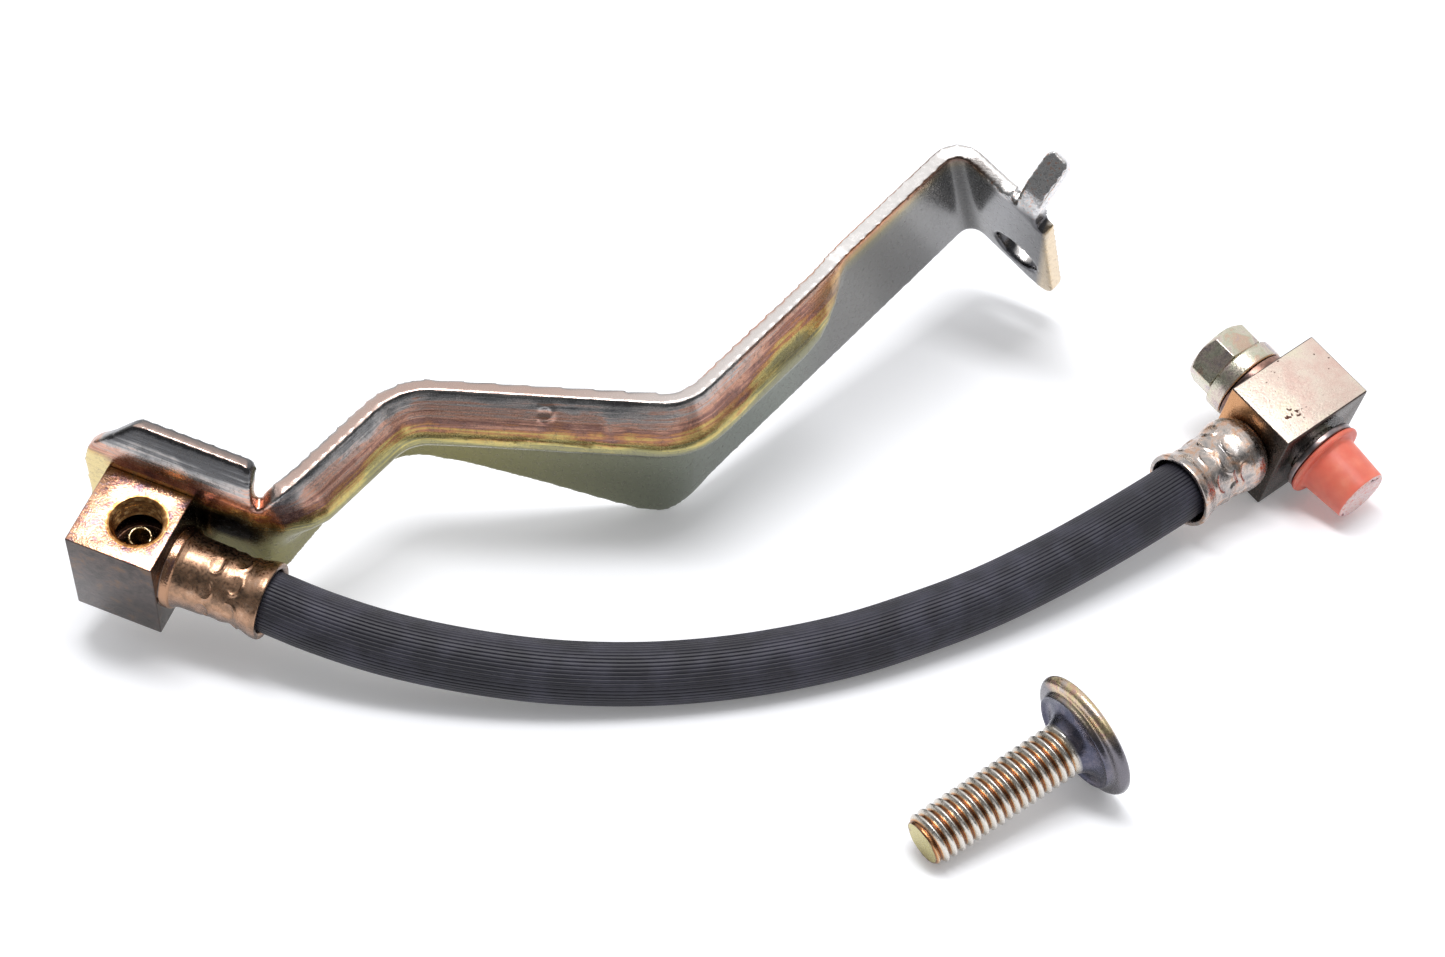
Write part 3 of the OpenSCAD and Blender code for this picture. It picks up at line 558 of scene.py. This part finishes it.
def lay_along_x(piece, at, sign, frame_matrix):
    """Turns a piece from Z to the fitting's X, from the given place, and seats it."""
    turned = Matrix.Rotation(math.radians(90 * sign), 4, "Y")
    piece.data.transform(frame_matrix @ Matrix.Translation((at / 1000, 0, 0)) @ turned)
    bpy.ops.object.shade_smooth_by_angle(angle=math.radians(40))


inlet_ferrule = spun("crimped_inlet_ferrule", fine_outline(INLET_FERRULE, OUTLINE_STEP),
                     FERRULE_STEPS)
crimp(inlet_ferrule, inner_radius=5.9, rows=(5.4, 9.6), jaws=8, size=(1.7, 1.3), depth=0.16,
      lip=0.24, seed=3)
lay_along_x(inlet_ferrule, INLET_FERRULE_AT, 1, inlet_frame)

# Drawn brass that the jaws have burnished: bronze, with pinkish rubbed places, and painted grey
# shade on the side that faces down
drawn, tree, shader = start_material("drawn_brass")
at = add(tree, "TexCoord").outputs["Object"]
mm = add(tree, "Mapping", {"Vector": at, **INLET_MM}, vector_type="TEXTURE").outputs[0]
patch = add(tree, "TexNoise", {"Vector": mm, "Scale": 0.5, "Detail": 5,
                               "Roughness": 0.6}).outputs["Fac"]
colour = add(tree, "ValToRGB", {"Fac": patch}, stops=(
    (0.3, "#806858"), (0.42, "#9A7C66"), (0.54, "#B08A70"), (0.66, "#C09C82"), (0.8, "#A28A80"),
)).outputs["Color"]
normal = add(tree, "TexCoord").outputs["Normal"]
lean = add(tree, "VectorMath", {0: normal, 1: inlet_up}, operation="DOT_PRODUCT").outputs["Value"]
# The side facing down is painted grey: painted shade
painted_underside_shade = add(tree, "MapRange", {"Value": lean, "From Min": 0.3, "From Max": -0.2,
                             "To Max": 0.75}).outputs[0]
colour = add(tree, "Mix", {"Factor": painted_underside_shade, "A": colour, "B": linear("#7E7472")},
             data_type="RGBA").outputs["Result"]
speck = add(tree, "TexNoise", {"Vector": mm, "Scale": 2.2, "Detail": 5}).outputs["Fac"]
rough = add(tree, "MapRange", {"Value": speck, "From Min": 0.35, "From Max": 0.65,
                               "To Min": 0.2, "To Max": 0.42}).outputs[0]
bump = add(tree, "Bump", {"Height": speck, "Strength": 0.1, "Distance": 0.0002}).outputs[0]
feed(tree, shader, {"Base Color": colour, "Roughness": rough, "Normal": bump, "Metallic": 1})
finish(inlet_ferrule, drawn, "hose_assembly", "ferrule_brass", "inlet_ferrule")


# The banjo ferrule is a steel cup with a domed shoulder and a rim that stands open round the
# hose. It is plated, and pressed on with the same kind of jaws.
BANJO_PLACE = (0.0989, 0.0229, 0.0123)
BANJO_TURN = [math.radians(a) for a in (17.1, -4.3, 39.4)]
BANJO_MM = {"Location": BANJO_PLACE, "Rotation": BANJO_TURN, "Scale": (0.001, 0.001, 0.001)}
BANJO_FERRULE_AT = -10.4
BANJO_FERRULE = [
    (2.5, 0), (5.1, 0), (5.7, 0.25), (6.2, 0.7), (6.6, 1.3), (6.9, 2.0), (7.05, 2.8), (7.1, 3.6),
    (7.02, 4.6), (6.8, 5.6), (6.55, 6.5), (6.4, 7.4), (6.2, 8.4), (6.36, 9.4), (6.2, 10.6),
    (6.22, 11.6), (6.3, 12.4), (6.3, 14.0), (6.6, 14.9), (6.95, 15.7), (7.14, 16.3), (7.2, 16.8),
    (7.12, 17.1), (6.9, 17.2), (6.45, 17.2), (6.3, 17.0), (6.05, 15.6), (5.7, 14.0),
    (5.45, 12.8), (5.45, 1.2), (2.5, 1.2), (2.5, 0),
]
banjo_frame = Matrix.LocRotScale(BANJO_PLACE, Euler(BANJO_TURN), None)
banjo_ferrule = spun("crimped_banjo_ferrule", fine_outline(BANJO_FERRULE, OUTLINE_STEP),
                     FERRULE_STEPS)
crimp(banjo_ferrule, inner_radius=6.1, rows=(6.4, 9.2, 12.0), jaws=7, size=(2.0, 1.4), depth=0.24,
      lip=0.3, seed=8)
lay_along_x(banjo_ferrule, BANJO_FERRULE_AT, -1, banjo_frame)

# Bright plating over steel, worn through to bronze and pink in places
pewter, tree, shader = start_material("worn_plated_steel")
at = add(tree, "TexCoord").outputs["Object"]
mm = add(tree, "Mapping", {"Vector": at, **BANJO_MM}, vector_type="TEXTURE").outputs[0]
patch = add(tree, "TexNoise", {"Vector": mm, "Scale": 0.42, "Detail": 5, "Roughness": 0.6,
                               "Distortion": 0.5}).outputs["Fac"]
colour = add(tree, "ValToRGB", {"Fac": patch}, stops=(
    (0.3, "#8E8A8C"), (0.44, "#B0AAA6"), (0.54, "#C8BAB2"), (0.62, "#CCA890"), (0.7, "#DCB8A6"),
    (0.8, "#A6A2AC"),
)).outputs["Color"]
speck = add(tree, "TexNoise", {"Vector": mm, "Scale": 2.2, "Detail": 5}).outputs["Fac"]
rough = add(tree, "MapRange", {"Value": speck, "From Min": 0.35, "From Max": 0.65,
                               "To Min": 0.16, "To Max": 0.38}).outputs[0]
bump = add(tree, "Bump", {"Height": speck, "Strength": 0.12, "Distance": 0.0002}).outputs[0]
feed(tree, shader, {"Base Color": colour, "Roughness": rough, "Normal": bump, "Metallic": 1})
finish(banjo_ferrule, pewter, "hose_assembly", "ferrule_steel", "banjo_ferrule")

# The two barbed stems stay inside the hose. Each has the metal and the finish of its ferrule.
for node, stem_finish in (("inlet_stem", drawn), ("banjo_stem", pewter)):
    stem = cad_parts[node]
    stem.data.materials.clear()
    stem.data.materials.append(stem_finish)


# The banjo block is sawn off steel bar, bored for its bolt and plated. Its two ends are sawn,
# and the bolt's faces are spot-faced.
SAWN_EDGE = 0.0003
PITS_AT = (-5.2, -3.4, 9.8)
banjo_block = merged_copy("banjo_block", "plated_banjo_block")
round_edges(banjo_block, SAWN_EDGE)

# Thin zinc over a sawn face: cream with pink and yellow drift and brown pits on top, and
# brown to orange film down the sides
sawn, tree, shader = start_material("plated_sawn_steel")
at = add(tree, "TexCoord").outputs["Object"]
mm = add(tree, "Mapping", {"Vector": at, **BANJO_MM}, vector_type="TEXTURE").outputs[0]
patch = add(tree, "TexNoise", {"Vector": mm, "Scale": 0.16, "Detail": 5,
                               "Roughness": 0.6}).outputs["Fac"]
top = add(tree, "ValToRGB", {"Fac": patch}, stops=(
    (0.35, "#EACCC0"), (0.5, "#F0DED0"), (0.62, "#F0E6D0"), (0.75, "#E6CCC8"),
)).outputs["Color"]
parts = add(tree, "SeparateXYZ", {0: mm}).outputs
across = add(tree, "Math", {0: parts["Y"], 1: 0.05, 2: patch}, operation="MULTIPLY_ADD").outputs[0]
side = add(tree, "ValToRGB", {"Fac": across}, stops=(
    (0.28, "#4E4844"), (0.46, "#6B5644"), (0.62, "#A87C54"), (0.8, "#D09C70"),
)).outputs["Color"]
normal = add(tree, "TexCoord").outputs["Normal"]
banjo_up = banjo_frame.to_3x3() @ Vector((0, 0, 1))
lean = add(tree, "VectorMath", {0: normal, 1: banjo_up}, operation="DOT_PRODUCT").outputs["Value"]
corner = add(tree, "MapRange", {"Value": lean, "From Min": 0.15, "From Max": 0.4}).outputs[0]
side = add(tree, "Mix", {"Factor": corner, "A": side, "B": linear("#5A504C")},
           data_type="RGBA").outputs["Result"]
face = add(tree, "MapRange", {"Value": lean, "From Min": 0.93, "From Max": 0.98}).outputs[0]
radial = add(tree, "CombineXYZ", {0: parts["X"], 1: parts["Z"]}).outputs[0]
radius = add(tree, "VectorMath", {0: radial}, operation="LENGTH").outputs["Value"]
# Round the bolt the block is painted near black: painted shade in the gap between block and washers
seat = add(tree, "MapRange", {"Value": radius, "From Min": 7.75, "From Max": 7.6}).outputs[0]
pit = add(tree, "TexNoise", {"Vector": mm, "Scale": 1.1, "Detail": 3}).outputs["Fac"]
from_pits = add(tree, "VectorMath", {0: mm, 1: PITS_AT}, operation="DISTANCE").outputs["Value"]
crowd = add(tree, "MapRange", {"Value": from_pits, "From Min": 3.6, "From Max": 0.4,
                               "To Max": 0.2}).outputs[0]
pit = add(tree, "Math", {0: pit, 1: crowd}, operation="ADD").outputs[0]
pits = add(tree, "MapRange", {"Value": pit, "From Min": 0.7, "From Max": 0.74}).outputs[0]
colour = side
for share, over in (
    (face, top), (seat, linear("#2C2826")), (pits, linear("#5A3C34")),
):
    colour = add(tree, "Mix", {"Factor": share, "A": colour, "B": over},
                 data_type="RGBA").outputs["Result"]
speck = add(tree, "TexNoise", {"Vector": mm, "Scale": 2.6, "Detail": 5}).outputs["Fac"]
rough = add(tree, "MapRange", {"Value": speck, "From Min": 0.35, "From Max": 0.65,
                               "To Min": 0.24, "To Max": 0.36}).outputs[0]
bump = add(tree, "Bump", {"Height": speck, "Strength": 0.25, "Distance": 0.0003}).outputs[0]
feed(tree, shader, {"Base Color": colour, "Roughness": rough, "Normal": bump, "Metallic": 1})
finish(banjo_block, sawn, "hose_assembly", "banjo_steel", "banjo_block")


# The banjo bolt is headed and rolled from steel wire. Its hexagon stands on a round flange,
# and yellow chromate drifts over both.
BOLT_EDGE = 0.00022
banjo_bolt = merged_copy("banjo_bolt", "plated_banjo_bolt")
round_edges(banjo_bolt, BOLT_EDGE, angle=28)
bolt_film, tree, shader = start_material("chromated_bolt_steel")
at = add(tree, "TexCoord").outputs["Object"]
mm = add(tree, "Mapping", {"Vector": at, **BANJO_MM}, vector_type="TEXTURE").outputs[0]
patch = add(tree, "TexNoise", {"Vector": mm, "Scale": 0.22, "Detail": 4, "Roughness": 0.6,
                               "Distortion": 0.7}).outputs["Fac"]
colour = add(tree, "ValToRGB", {"Fac": patch}, stops=(
    (0.32, "#ACA8B0"), (0.42, "#D0C0B8"), (0.5, "#DAD2C2"), (0.58, "#CACAB6"),
    (0.66, "#D6BAA6"), (0.78, "#B8B0B8"),
)).outputs["Color"]
speck = add(tree, "TexNoise", {"Vector": mm, "Scale": 3, "Detail": 5}).outputs["Fac"]
rough = add(tree, "MapRange", {"Value": speck, "From Min": 0.35, "From Max": 0.65,
                               "To Min": 0.2, "To Max": 0.4}).outputs[0]
bump = add(tree, "Bump", {"Height": speck, "Strength": 0.1, "Distance": 0.0003}).outputs[0]
feed(tree, shader, {"Base Color": colour, "Roughness": rough, "Normal": bump, "Metallic": 1})
finish(banjo_bolt, bolt_film, "bolt", "bolt_steel", "banjo_bolt")


# One washer seals each side of the block: soft copper under the bolt's flange, plated steel on
# the other side. Both are stamped, so their corners are a little round.
WASHER_EDGE = 0.00025
copper, tree, shader = start_material("dulled_copper")
at = add(tree, "TexCoord").outputs["Object"]
mm = add(tree, "Mapping", {"Vector": at, **BANJO_MM}, vector_type="TEXTURE").outputs[0]
patch = add(tree, "TexNoise", {"Vector": mm, "Scale": 0.5, "Detail": 5}).outputs["Fac"]
colour = add(tree, "ValToRGB", {"Fac": patch}, stops=(
    (0.35, "#5E4E4C"), (0.5, "#8A6A60"), (0.62, "#B08A7C"), (0.75, "#786C6C"),
)).outputs["Color"]
rough = add(tree, "MapRange", {"Value": patch, "From Min": 0.35, "From Max": 0.65,
                               "To Min": 0.24, "To Max": 0.42}).outputs[0]
feed(tree, shader, {"Base Color": colour, "Roughness": rough, "Metallic": 1})
head_washer = merged_copy("head_washer", "copper_head_washer")
round_edges(head_washer, WASHER_EDGE)
finish(head_washer, copper, "head_washer", "washer_copper", "head_washer")

# The second washer is plated steel, gone dull
dull_plate, tree, shader = start_material("dulled_plated_steel")
at = add(tree, "TexCoord").outputs["Object"]
mm = add(tree, "Mapping", {"Vector": at, **BANJO_MM}, vector_type="TEXTURE").outputs[0]
patch = add(tree, "TexNoise", {"Vector": mm, "Scale": 0.5, "Detail": 5}).outputs["Fac"]
colour = add(tree, "ValToRGB", {"Fac": patch}, stops=(
    (0.35, "#6E686A"), (0.5, "#8C8486"), (0.65, "#B09A96"),
)).outputs["Color"]
feed(tree, shader, {"Base Color": colour, "Metallic": 1, "Roughness": 0.3})
second_washer = merged_copy("caliper_washer", "stamped_second_washer")
round_edges(second_washer, WASHER_EDGE)
finish(second_washer, dull_plate, "bolt", "washer_steel", "caliper_washer")


# The cap is moulded in soft red plastic and pushed over the bolt's thread. Its closed end
# still has the rough, greyish mark of the gate, and a crumb of flash hangs at its edge.
CAP_END = 19.9
CAP_EDGE = 0.00028
thread_cap = merged_copy("thread_cap", "moulded_thread_cap")
round_edges(thread_cap, CAP_EDGE)
soft_red, tree, shader = start_material("moulded_soft_plastic")
at = add(tree, "TexCoord").outputs["Object"]
mm = add(tree, "Mapping", {"Vector": at, **BANJO_MM}, vector_type="TEXTURE").outputs[0]
cloud = add(tree, "TexNoise", {"Vector": mm, "Scale": 0.3, "Detail": 3}).outputs["Fac"]
red = add(tree, "ValToRGB", {"Fac": cloud}, stops=(
    (0.35, "#E8705C"), (0.55, "#EE7C66"), (0.7, "#F48C74"),
)).outputs["Color"]
depth = add(tree, "SeparateXYZ", {0: mm}).outputs["Y"]
end = add(tree, "MapRange", {"Value": depth, "From Min": 0.12 - CAP_END,
                             "From Max": -0.02 - CAP_END}).outputs[0]
scuff = add(tree, "TexNoise", {"Vector": mm, "Scale": 1.3, "Detail": 5}).outputs["Fac"]
chalk = add(tree, "ValToRGB", {"Fac": scuff}, stops=(
    (0.38, "#E0B8B4"), (0.5, "#F0DAD8"), (0.6, "#E0A8A0"), (0.68, "#E88878"),
)).outputs["Color"]
colour = add(tree, "Mix", {"Factor": end, "A": red, "B": chalk}, data_type="RGBA").outputs["Result"]
bump = add(tree, "Bump", {"Height": scuff, "Strength": 0.12, "Distance": 0.0003}).outputs[0]
feed(tree, shader, {"Base Color": colour, "Normal": bump, "Roughness": 0.42,
                    "Subsurface Weight": 0.25, "Subsurface Scale": 0.002})
finish(thread_cap, soft_red, "cap", "cap_plastic", "thread_cap")


# The mounting screw is headed and rolled from steel wire, with 16 threads to the inch. Its
# underside is dished inside a raised ring. It lies loose, on its tip and on its head's rim.
SCREW_PLACE = (0.0282, -0.0733, 0.004365)
SCREW_TURN = [math.radians(a) for a in (0, 78.463, 32.9)]
SCREW_MM = {"Location": SCREW_PLACE, "Rotation": SCREW_TURN, "Scale": (0.001, 0.001, 0.001)}
SCREW_PITCH = 1.5875
CREST = 4.7
ROOT = 3.78
CREST_ROUND = 0.08
ROOT_ROUND = 0.1
SCREW_THREAD = [
    (CREST, 0), (CREST, 0.1), (CREST - CREST_ROUND, 0.2), (ROOT + ROOT_ROUND, 0.64),
    (ROOT, 0.74), (ROOT, 0.84), (ROOT + ROOT_ROUND, 0.94), (CREST - CREST_ROUND, 1.38),
    (CREST, SCREW_PITCH),
]
THREAD_TURNS = 20
LEAD_TURNS = 1.6
THREAD_END = 28.5
TIP_CHAMFER = 1.2
TIP_INSET = 0.9
SCREW_HEAD = [
    (0, 27.4), (3.7, 27.4), (4.3, 28.2), (4.72, 28.7), (4.95, 29.3), (5.3, 29.9), (5.8, 30.45),
    (6.5, 30.9), (7.2, 31.15), (7.8, 31.15), (8.15, 30.95), (8.4, 30.72), (8.62, 30.66),
    (8.8, 30.78), (8.88, 31.1), (8.98, 31.5), (9.25, 31.72), (9.8, 31.78), (10.25, 31.86),
    (10.6, 32.0), (10.9, 32.3), (11.08, 32.62), (11.15, 33.0), (11.1, 33.35), (10.95, 33.6),
    (10.7, 33.8), (10.2, 33.98), (9.3, 34.16), (8.4, 34.2), (0, 34.2),
]
HEAD_STEP = 0.6
HEAD_TOP = 0.0342
DRIVE_DEPTH = 0.002
DRIVE_RADIUS = 0.0029
LOBE_RADIUS = 0.0009
LOBES = 6
CUTTER_HEIGHT = 0.004
screw_frame = Matrix.LocRotScale(SCREW_PLACE, Euler(SCREW_TURN), None)
screw_head = spun("screw_head", fine_outline(SCREW_HEAD, HEAD_STEP), steps=128)
cutter_middle = HEAD_TOP - DRIVE_DEPTH + CUTTER_HEIGHT / 2
bpy.ops.mesh.primitive_cylinder_add(vertices=48, radius=DRIVE_RADIUS, depth=CUTTER_HEIGHT,
                                    location=(0, 0, cutter_middle))
cutter = bpy.context.object
for lobe in range(LOBES):
    turn = math.radians(360 / LOBES * lobe)
    bpy.ops.mesh.primitive_cylinder_add(
        vertices=24, radius=LOBE_RADIUS, depth=CUTTER_HEIGHT,
        location=(DRIVE_RADIUS * math.cos(turn), DRIVE_RADIUS * math.sin(turn), cutter_middle),
    )
    lobe_cutter = bpy.context.object
    union = cutter.modifiers.new("lobe", "BOOLEAN")
    union.operation = "UNION"
    union.object = lobe_cutter
    bpy.context.view_layer.objects.active = cutter
    bpy.ops.object.modifier_apply(modifier=union.name)
    bpy.data.objects.remove(lobe_cutter)
recess = screw_head.modifiers.new("drive_recess", "BOOLEAN")
recess.operation = "DIFFERENCE"
recess.object = cutter
bpy.context.view_layer.objects.active = screw_head
bpy.ops.object.modifier_apply(modifier=recess.name)
bpy.data.objects.remove(cutter)

mounting_screw = helix("rolled_mounting_screw", [(r / 1000, z / 1000) for r, z in SCREW_THREAD],
                       SCREW_PITCH / 1000, THREAD_TURNS, steps=72)
for vertex in mounting_screw.data.vertices:
    vertex.co.z -= LEAD_TURNS * SCREW_PITCH / 1000
bpy.ops.object.mode_set(mode="EDIT")
for height, low_side in ((0, True), (THREAD_END, False)):
    bpy.ops.mesh.select_all(action="SELECT")
    bpy.ops.mesh.bisect(plane_co=(0, 0, height / 1000), plane_no=(0, 0, 1), use_fill=False,
                        clear_inner=low_side, clear_outer=not low_side)
    bpy.ops.mesh.edge_face_add()
bpy.ops.mesh.select_all(action="SELECT")
bpy.ops.mesh.normals_make_consistent(inside=False)
bpy.ops.object.mode_set(mode="OBJECT")
for vertex in mounting_screw.data.vertices:
    place = vertex.co
    radius = math.hypot(place.x, place.y) * 1000
    most = CREST - TIP_INSET + place.z * 1000 * TIP_INSET / TIP_CHAMFER
    if radius > most:
        place.x *= most / radius
        place.y *= most / radius
screw_head.select_set(True)
bpy.ops.object.join()
mounting_screw.data.transform(screw_frame)
bpy.ops.object.shade_smooth_by_angle(angle=math.radians(48))

# Yellow chromated steel: the rolled crests are rubbed to silver, and the film is thick and
# orange-brown in the roots. Under the head it is thin and blue-grey.
rolled, tree, shader = start_material("rolled_chromated_steel")
at = add(tree, "TexCoord").outputs["Object"]
mm = add(tree, "Mapping", {"Vector": at, **SCREW_MM}, vector_type="TEXTURE").outputs[0]
parts = add(tree, "SeparateXYZ", {0: mm}).outputs
radial = add(tree, "CombineXYZ", {0: parts["X"], 1: parts["Y"]}).outputs[0]
radius = add(tree, "VectorMath", {0: radial}, operation="LENGTH").outputs["Value"]
patch = add(tree, "TexNoise", {"Vector": mm, "Scale": 0.4, "Detail": 4}).outputs["Fac"]
shade = add(tree, "MapRange", {"Value": radius, "From Min": ROOT, "From Max": CREST}).outputs[0]
thread_colour = add(tree, "ValToRGB", {"Fac": shade}, stops=(
    (0.0, "#7A5A48"), (0.14, "#B07A50"), (0.28, "#D0A880"), (0.44, "#CDC3B4"), (1.0, "#DCD8D2"),
)).outputs["Color"]
head_colour = add(tree, "ValToRGB", {"Fac": patch}, stops=(
    (0.35, "#4E5060"), (0.5, "#5C5C6C"), (0.62, "#77727E"), (0.75, "#585664"),
)).outputs["Color"]
rim_colour = add(tree, "ValToRGB", {"Fac": patch}, stops=(
    (0.36, "#C0B4AC"), (0.46, "#D6BCA4"), (0.54, "#D2C498"), (0.62, "#D0A894"),
    (0.74, "#A09AA2"),
)).outputs["Color"]
# The rim is painted gold only on its upper side and grey below: painted light and painted shade
lit_upper_rim = add(tree, "MapRange", {"Value": parts["X"], "From Min": -6, "From Max": -8.6}).outputs[0]
rim_colour = add(tree, "Mix", {"Factor": lit_upper_rim, "A": linear("#77747A"), "B": rim_colour},
                 data_type="RGBA").outputs["Result"]
rim = add(tree, "MapRange", {"Value": radius, "From Min": 8.6, "From Max": 9.2}).outputs[0]
head = add(tree, "Mix", {"Factor": rim, "A": head_colour, "B": rim_colour},
           data_type="RGBA").outputs["Result"]
on_head = add(tree, "MapRange", {"Value": parts["Z"], "From Min": 28.3,
                                 "From Max": 28.9}).outputs[0]
colour = add(tree, "Mix", {"Factor": on_head, "A": thread_colour, "B": head},
             data_type="RGBA").outputs["Result"]
inside = add(tree, "MapRange", {"Value": radius, "From Min": 3.75, "From Max": 3.6}).outputs[0]
on_tip = add(tree, "MapRange", {"Value": parts["Z"], "From Min": 0.06, "From Max": 0.02}).outputs[0]
on_tip = add(tree, "Math", {0: inside, 1: on_tip}, operation="MULTIPLY").outputs[0]
colour = add(tree, "Mix", {"Factor": on_tip, "A": colour, "B": linear("#BDB274")},
             data_type="RGBA").outputs["Result"]
speck = add(tree, "TexNoise", {"Vector": mm, "Scale": 3, "Detail": 5}).outputs["Fac"]
rough = add(tree, "MapRange", {"Value": speck, "From Min": 0.35, "From Max": 0.65,
                               "To Min": 0.2, "To Max": 0.36}).outputs[0]
bump = add(tree, "Bump", {"Height": speck, "Strength": 0.12, "Distance": 0.0003}).outputs[0]
feed(tree, shader, {"Base Color": colour, "Roughness": rough, "Normal": bump, "Metallic": 1})
finish(mounting_screw, rolled, "hose_assembly", "screw_steel", "mounting_screw")


# A bright ceiling is over it and behind it. The room in front is dark, and so is the paper
# there, to what mirrors it.
SHEET_SIZE = 6
LIT_FRONT = -0.1
DARK_FRONT = -0.2
PAPER_LIFT = 0.19
ROOM_DARK = 0.18
ROOM_BRIGHT = 0.95
BRIGHT_WAY = (0, 0.8, 0.6)
bpy.ops.mesh.primitive_plane_add(size=SHEET_SIZE, location=(0, 0, 0))
table = bpy.context.object
table.name = "table"
paper, tree, shader = start_material("white_paper")
path = add(tree, "LightPath").outputs
seen = add(tree, "Math", {0: path["Is Camera Ray"], 1: path["Is Glossy Ray"]},
           operation="MAXIMUM").outputs[0]
seen = add(tree, "Math", {0: seen, 1: path["Is Transmission Ray"]}, operation="MAXIMUM").outputs[0]
at = add(tree, "TexCoord").outputs["Object"]
ahead = add(tree, "SeparateXYZ", {0: at}).outputs["Y"]
lost = add(tree, "MapRange", {"Value": ahead, "From Min": LIT_FRONT,
                              "From Max": DARK_FRONT}).outputs[0]
lost = add(tree, "Math", {0: lost, 1: path["Is Glossy Ray"]}, operation="MULTIPLY").outputs[0]
colour = add(tree, "Mix", {"Factor": lost, "A": linear("#F0F1F5"), "B": linear("#5A5A5C")},
             data_type="RGBA").outputs["Result"]
feed(tree, shader, {"Roughness": 0.9, "Specular IOR Level": 0, "Base Color": colour})
seen = add(tree, "Math", {0: seen, 1: lost}, operation="SUBTRACT", use_clamp=True).outputs[0]
lift = add(tree, "Math", {0: seen, 1: PAPER_LIFT}, operation="MULTIPLY").outputs[0]
glow = add(tree, "Emission", {"Color": linear("#FFFFFF"), "Strength": lift}).outputs[0]
both = add(tree, "AddShader", {0: shader.outputs[0], 1: glow})
tree.links.new(both.outputs[0], tree.nodes["Material Output"].inputs["Surface"])
table.data.materials.append(paper)

world = bpy.data.worlds.new("bright_ceiling")
world.use_nodes = True
scene.world = world
tree = world.node_tree
tree.nodes.clear()
way = add(tree, "TexCoord").outputs["Generated"]
high = add(tree, "VectorMath", {0: way, 1: BRIGHT_WAY}, operation="DOT_PRODUCT").outputs["Value"]
bright = add(tree, "MapRange", {"Value": high, "From Min": 0.1, "From Max": 0.75,
                                "To Min": ROOM_DARK, "To Max": ROOM_BRIGHT}).outputs[0]
room = add(tree, "Background", {"Color": linear("#FFFFFF"), "Strength": bright}).outputs[0]
white = add(tree, "Background", {"Color": linear("#FFFFFF"), "Strength": 1}).outputs[0]
path = add(tree, "LightPath").outputs
blend = add(tree, "MixShader", {0: path["Is Camera Ray"], 1: room, 2: white})
add(tree, "OutputWorld", {"Surface": blend.outputs[0]})

# Two soft lamps.
for name, place, size, depth, power in (
    ("top_lamp", (-0.02, -0.03, 1.0), 0.6, 0.2, 6.2),
    ("front_lamp", (0.5, -0.3, 1.0), 0.6, 0.6, 1.2),
):
    bpy.ops.object.light_add(type="AREA", location=place)
    lamp = bpy.context.object
    lamp.name = name
    lamp.data.shape = "RECTANGLE"
    lamp.data.size = size
    lamp.data.size_y = depth
    lamp.data.energy = power
    toward_kit = Vector((0, 0, 0)) - Vector(place)
    lamp.rotation_euler = toward_kit.to_track_quat("-Z", "Y").to_euler()
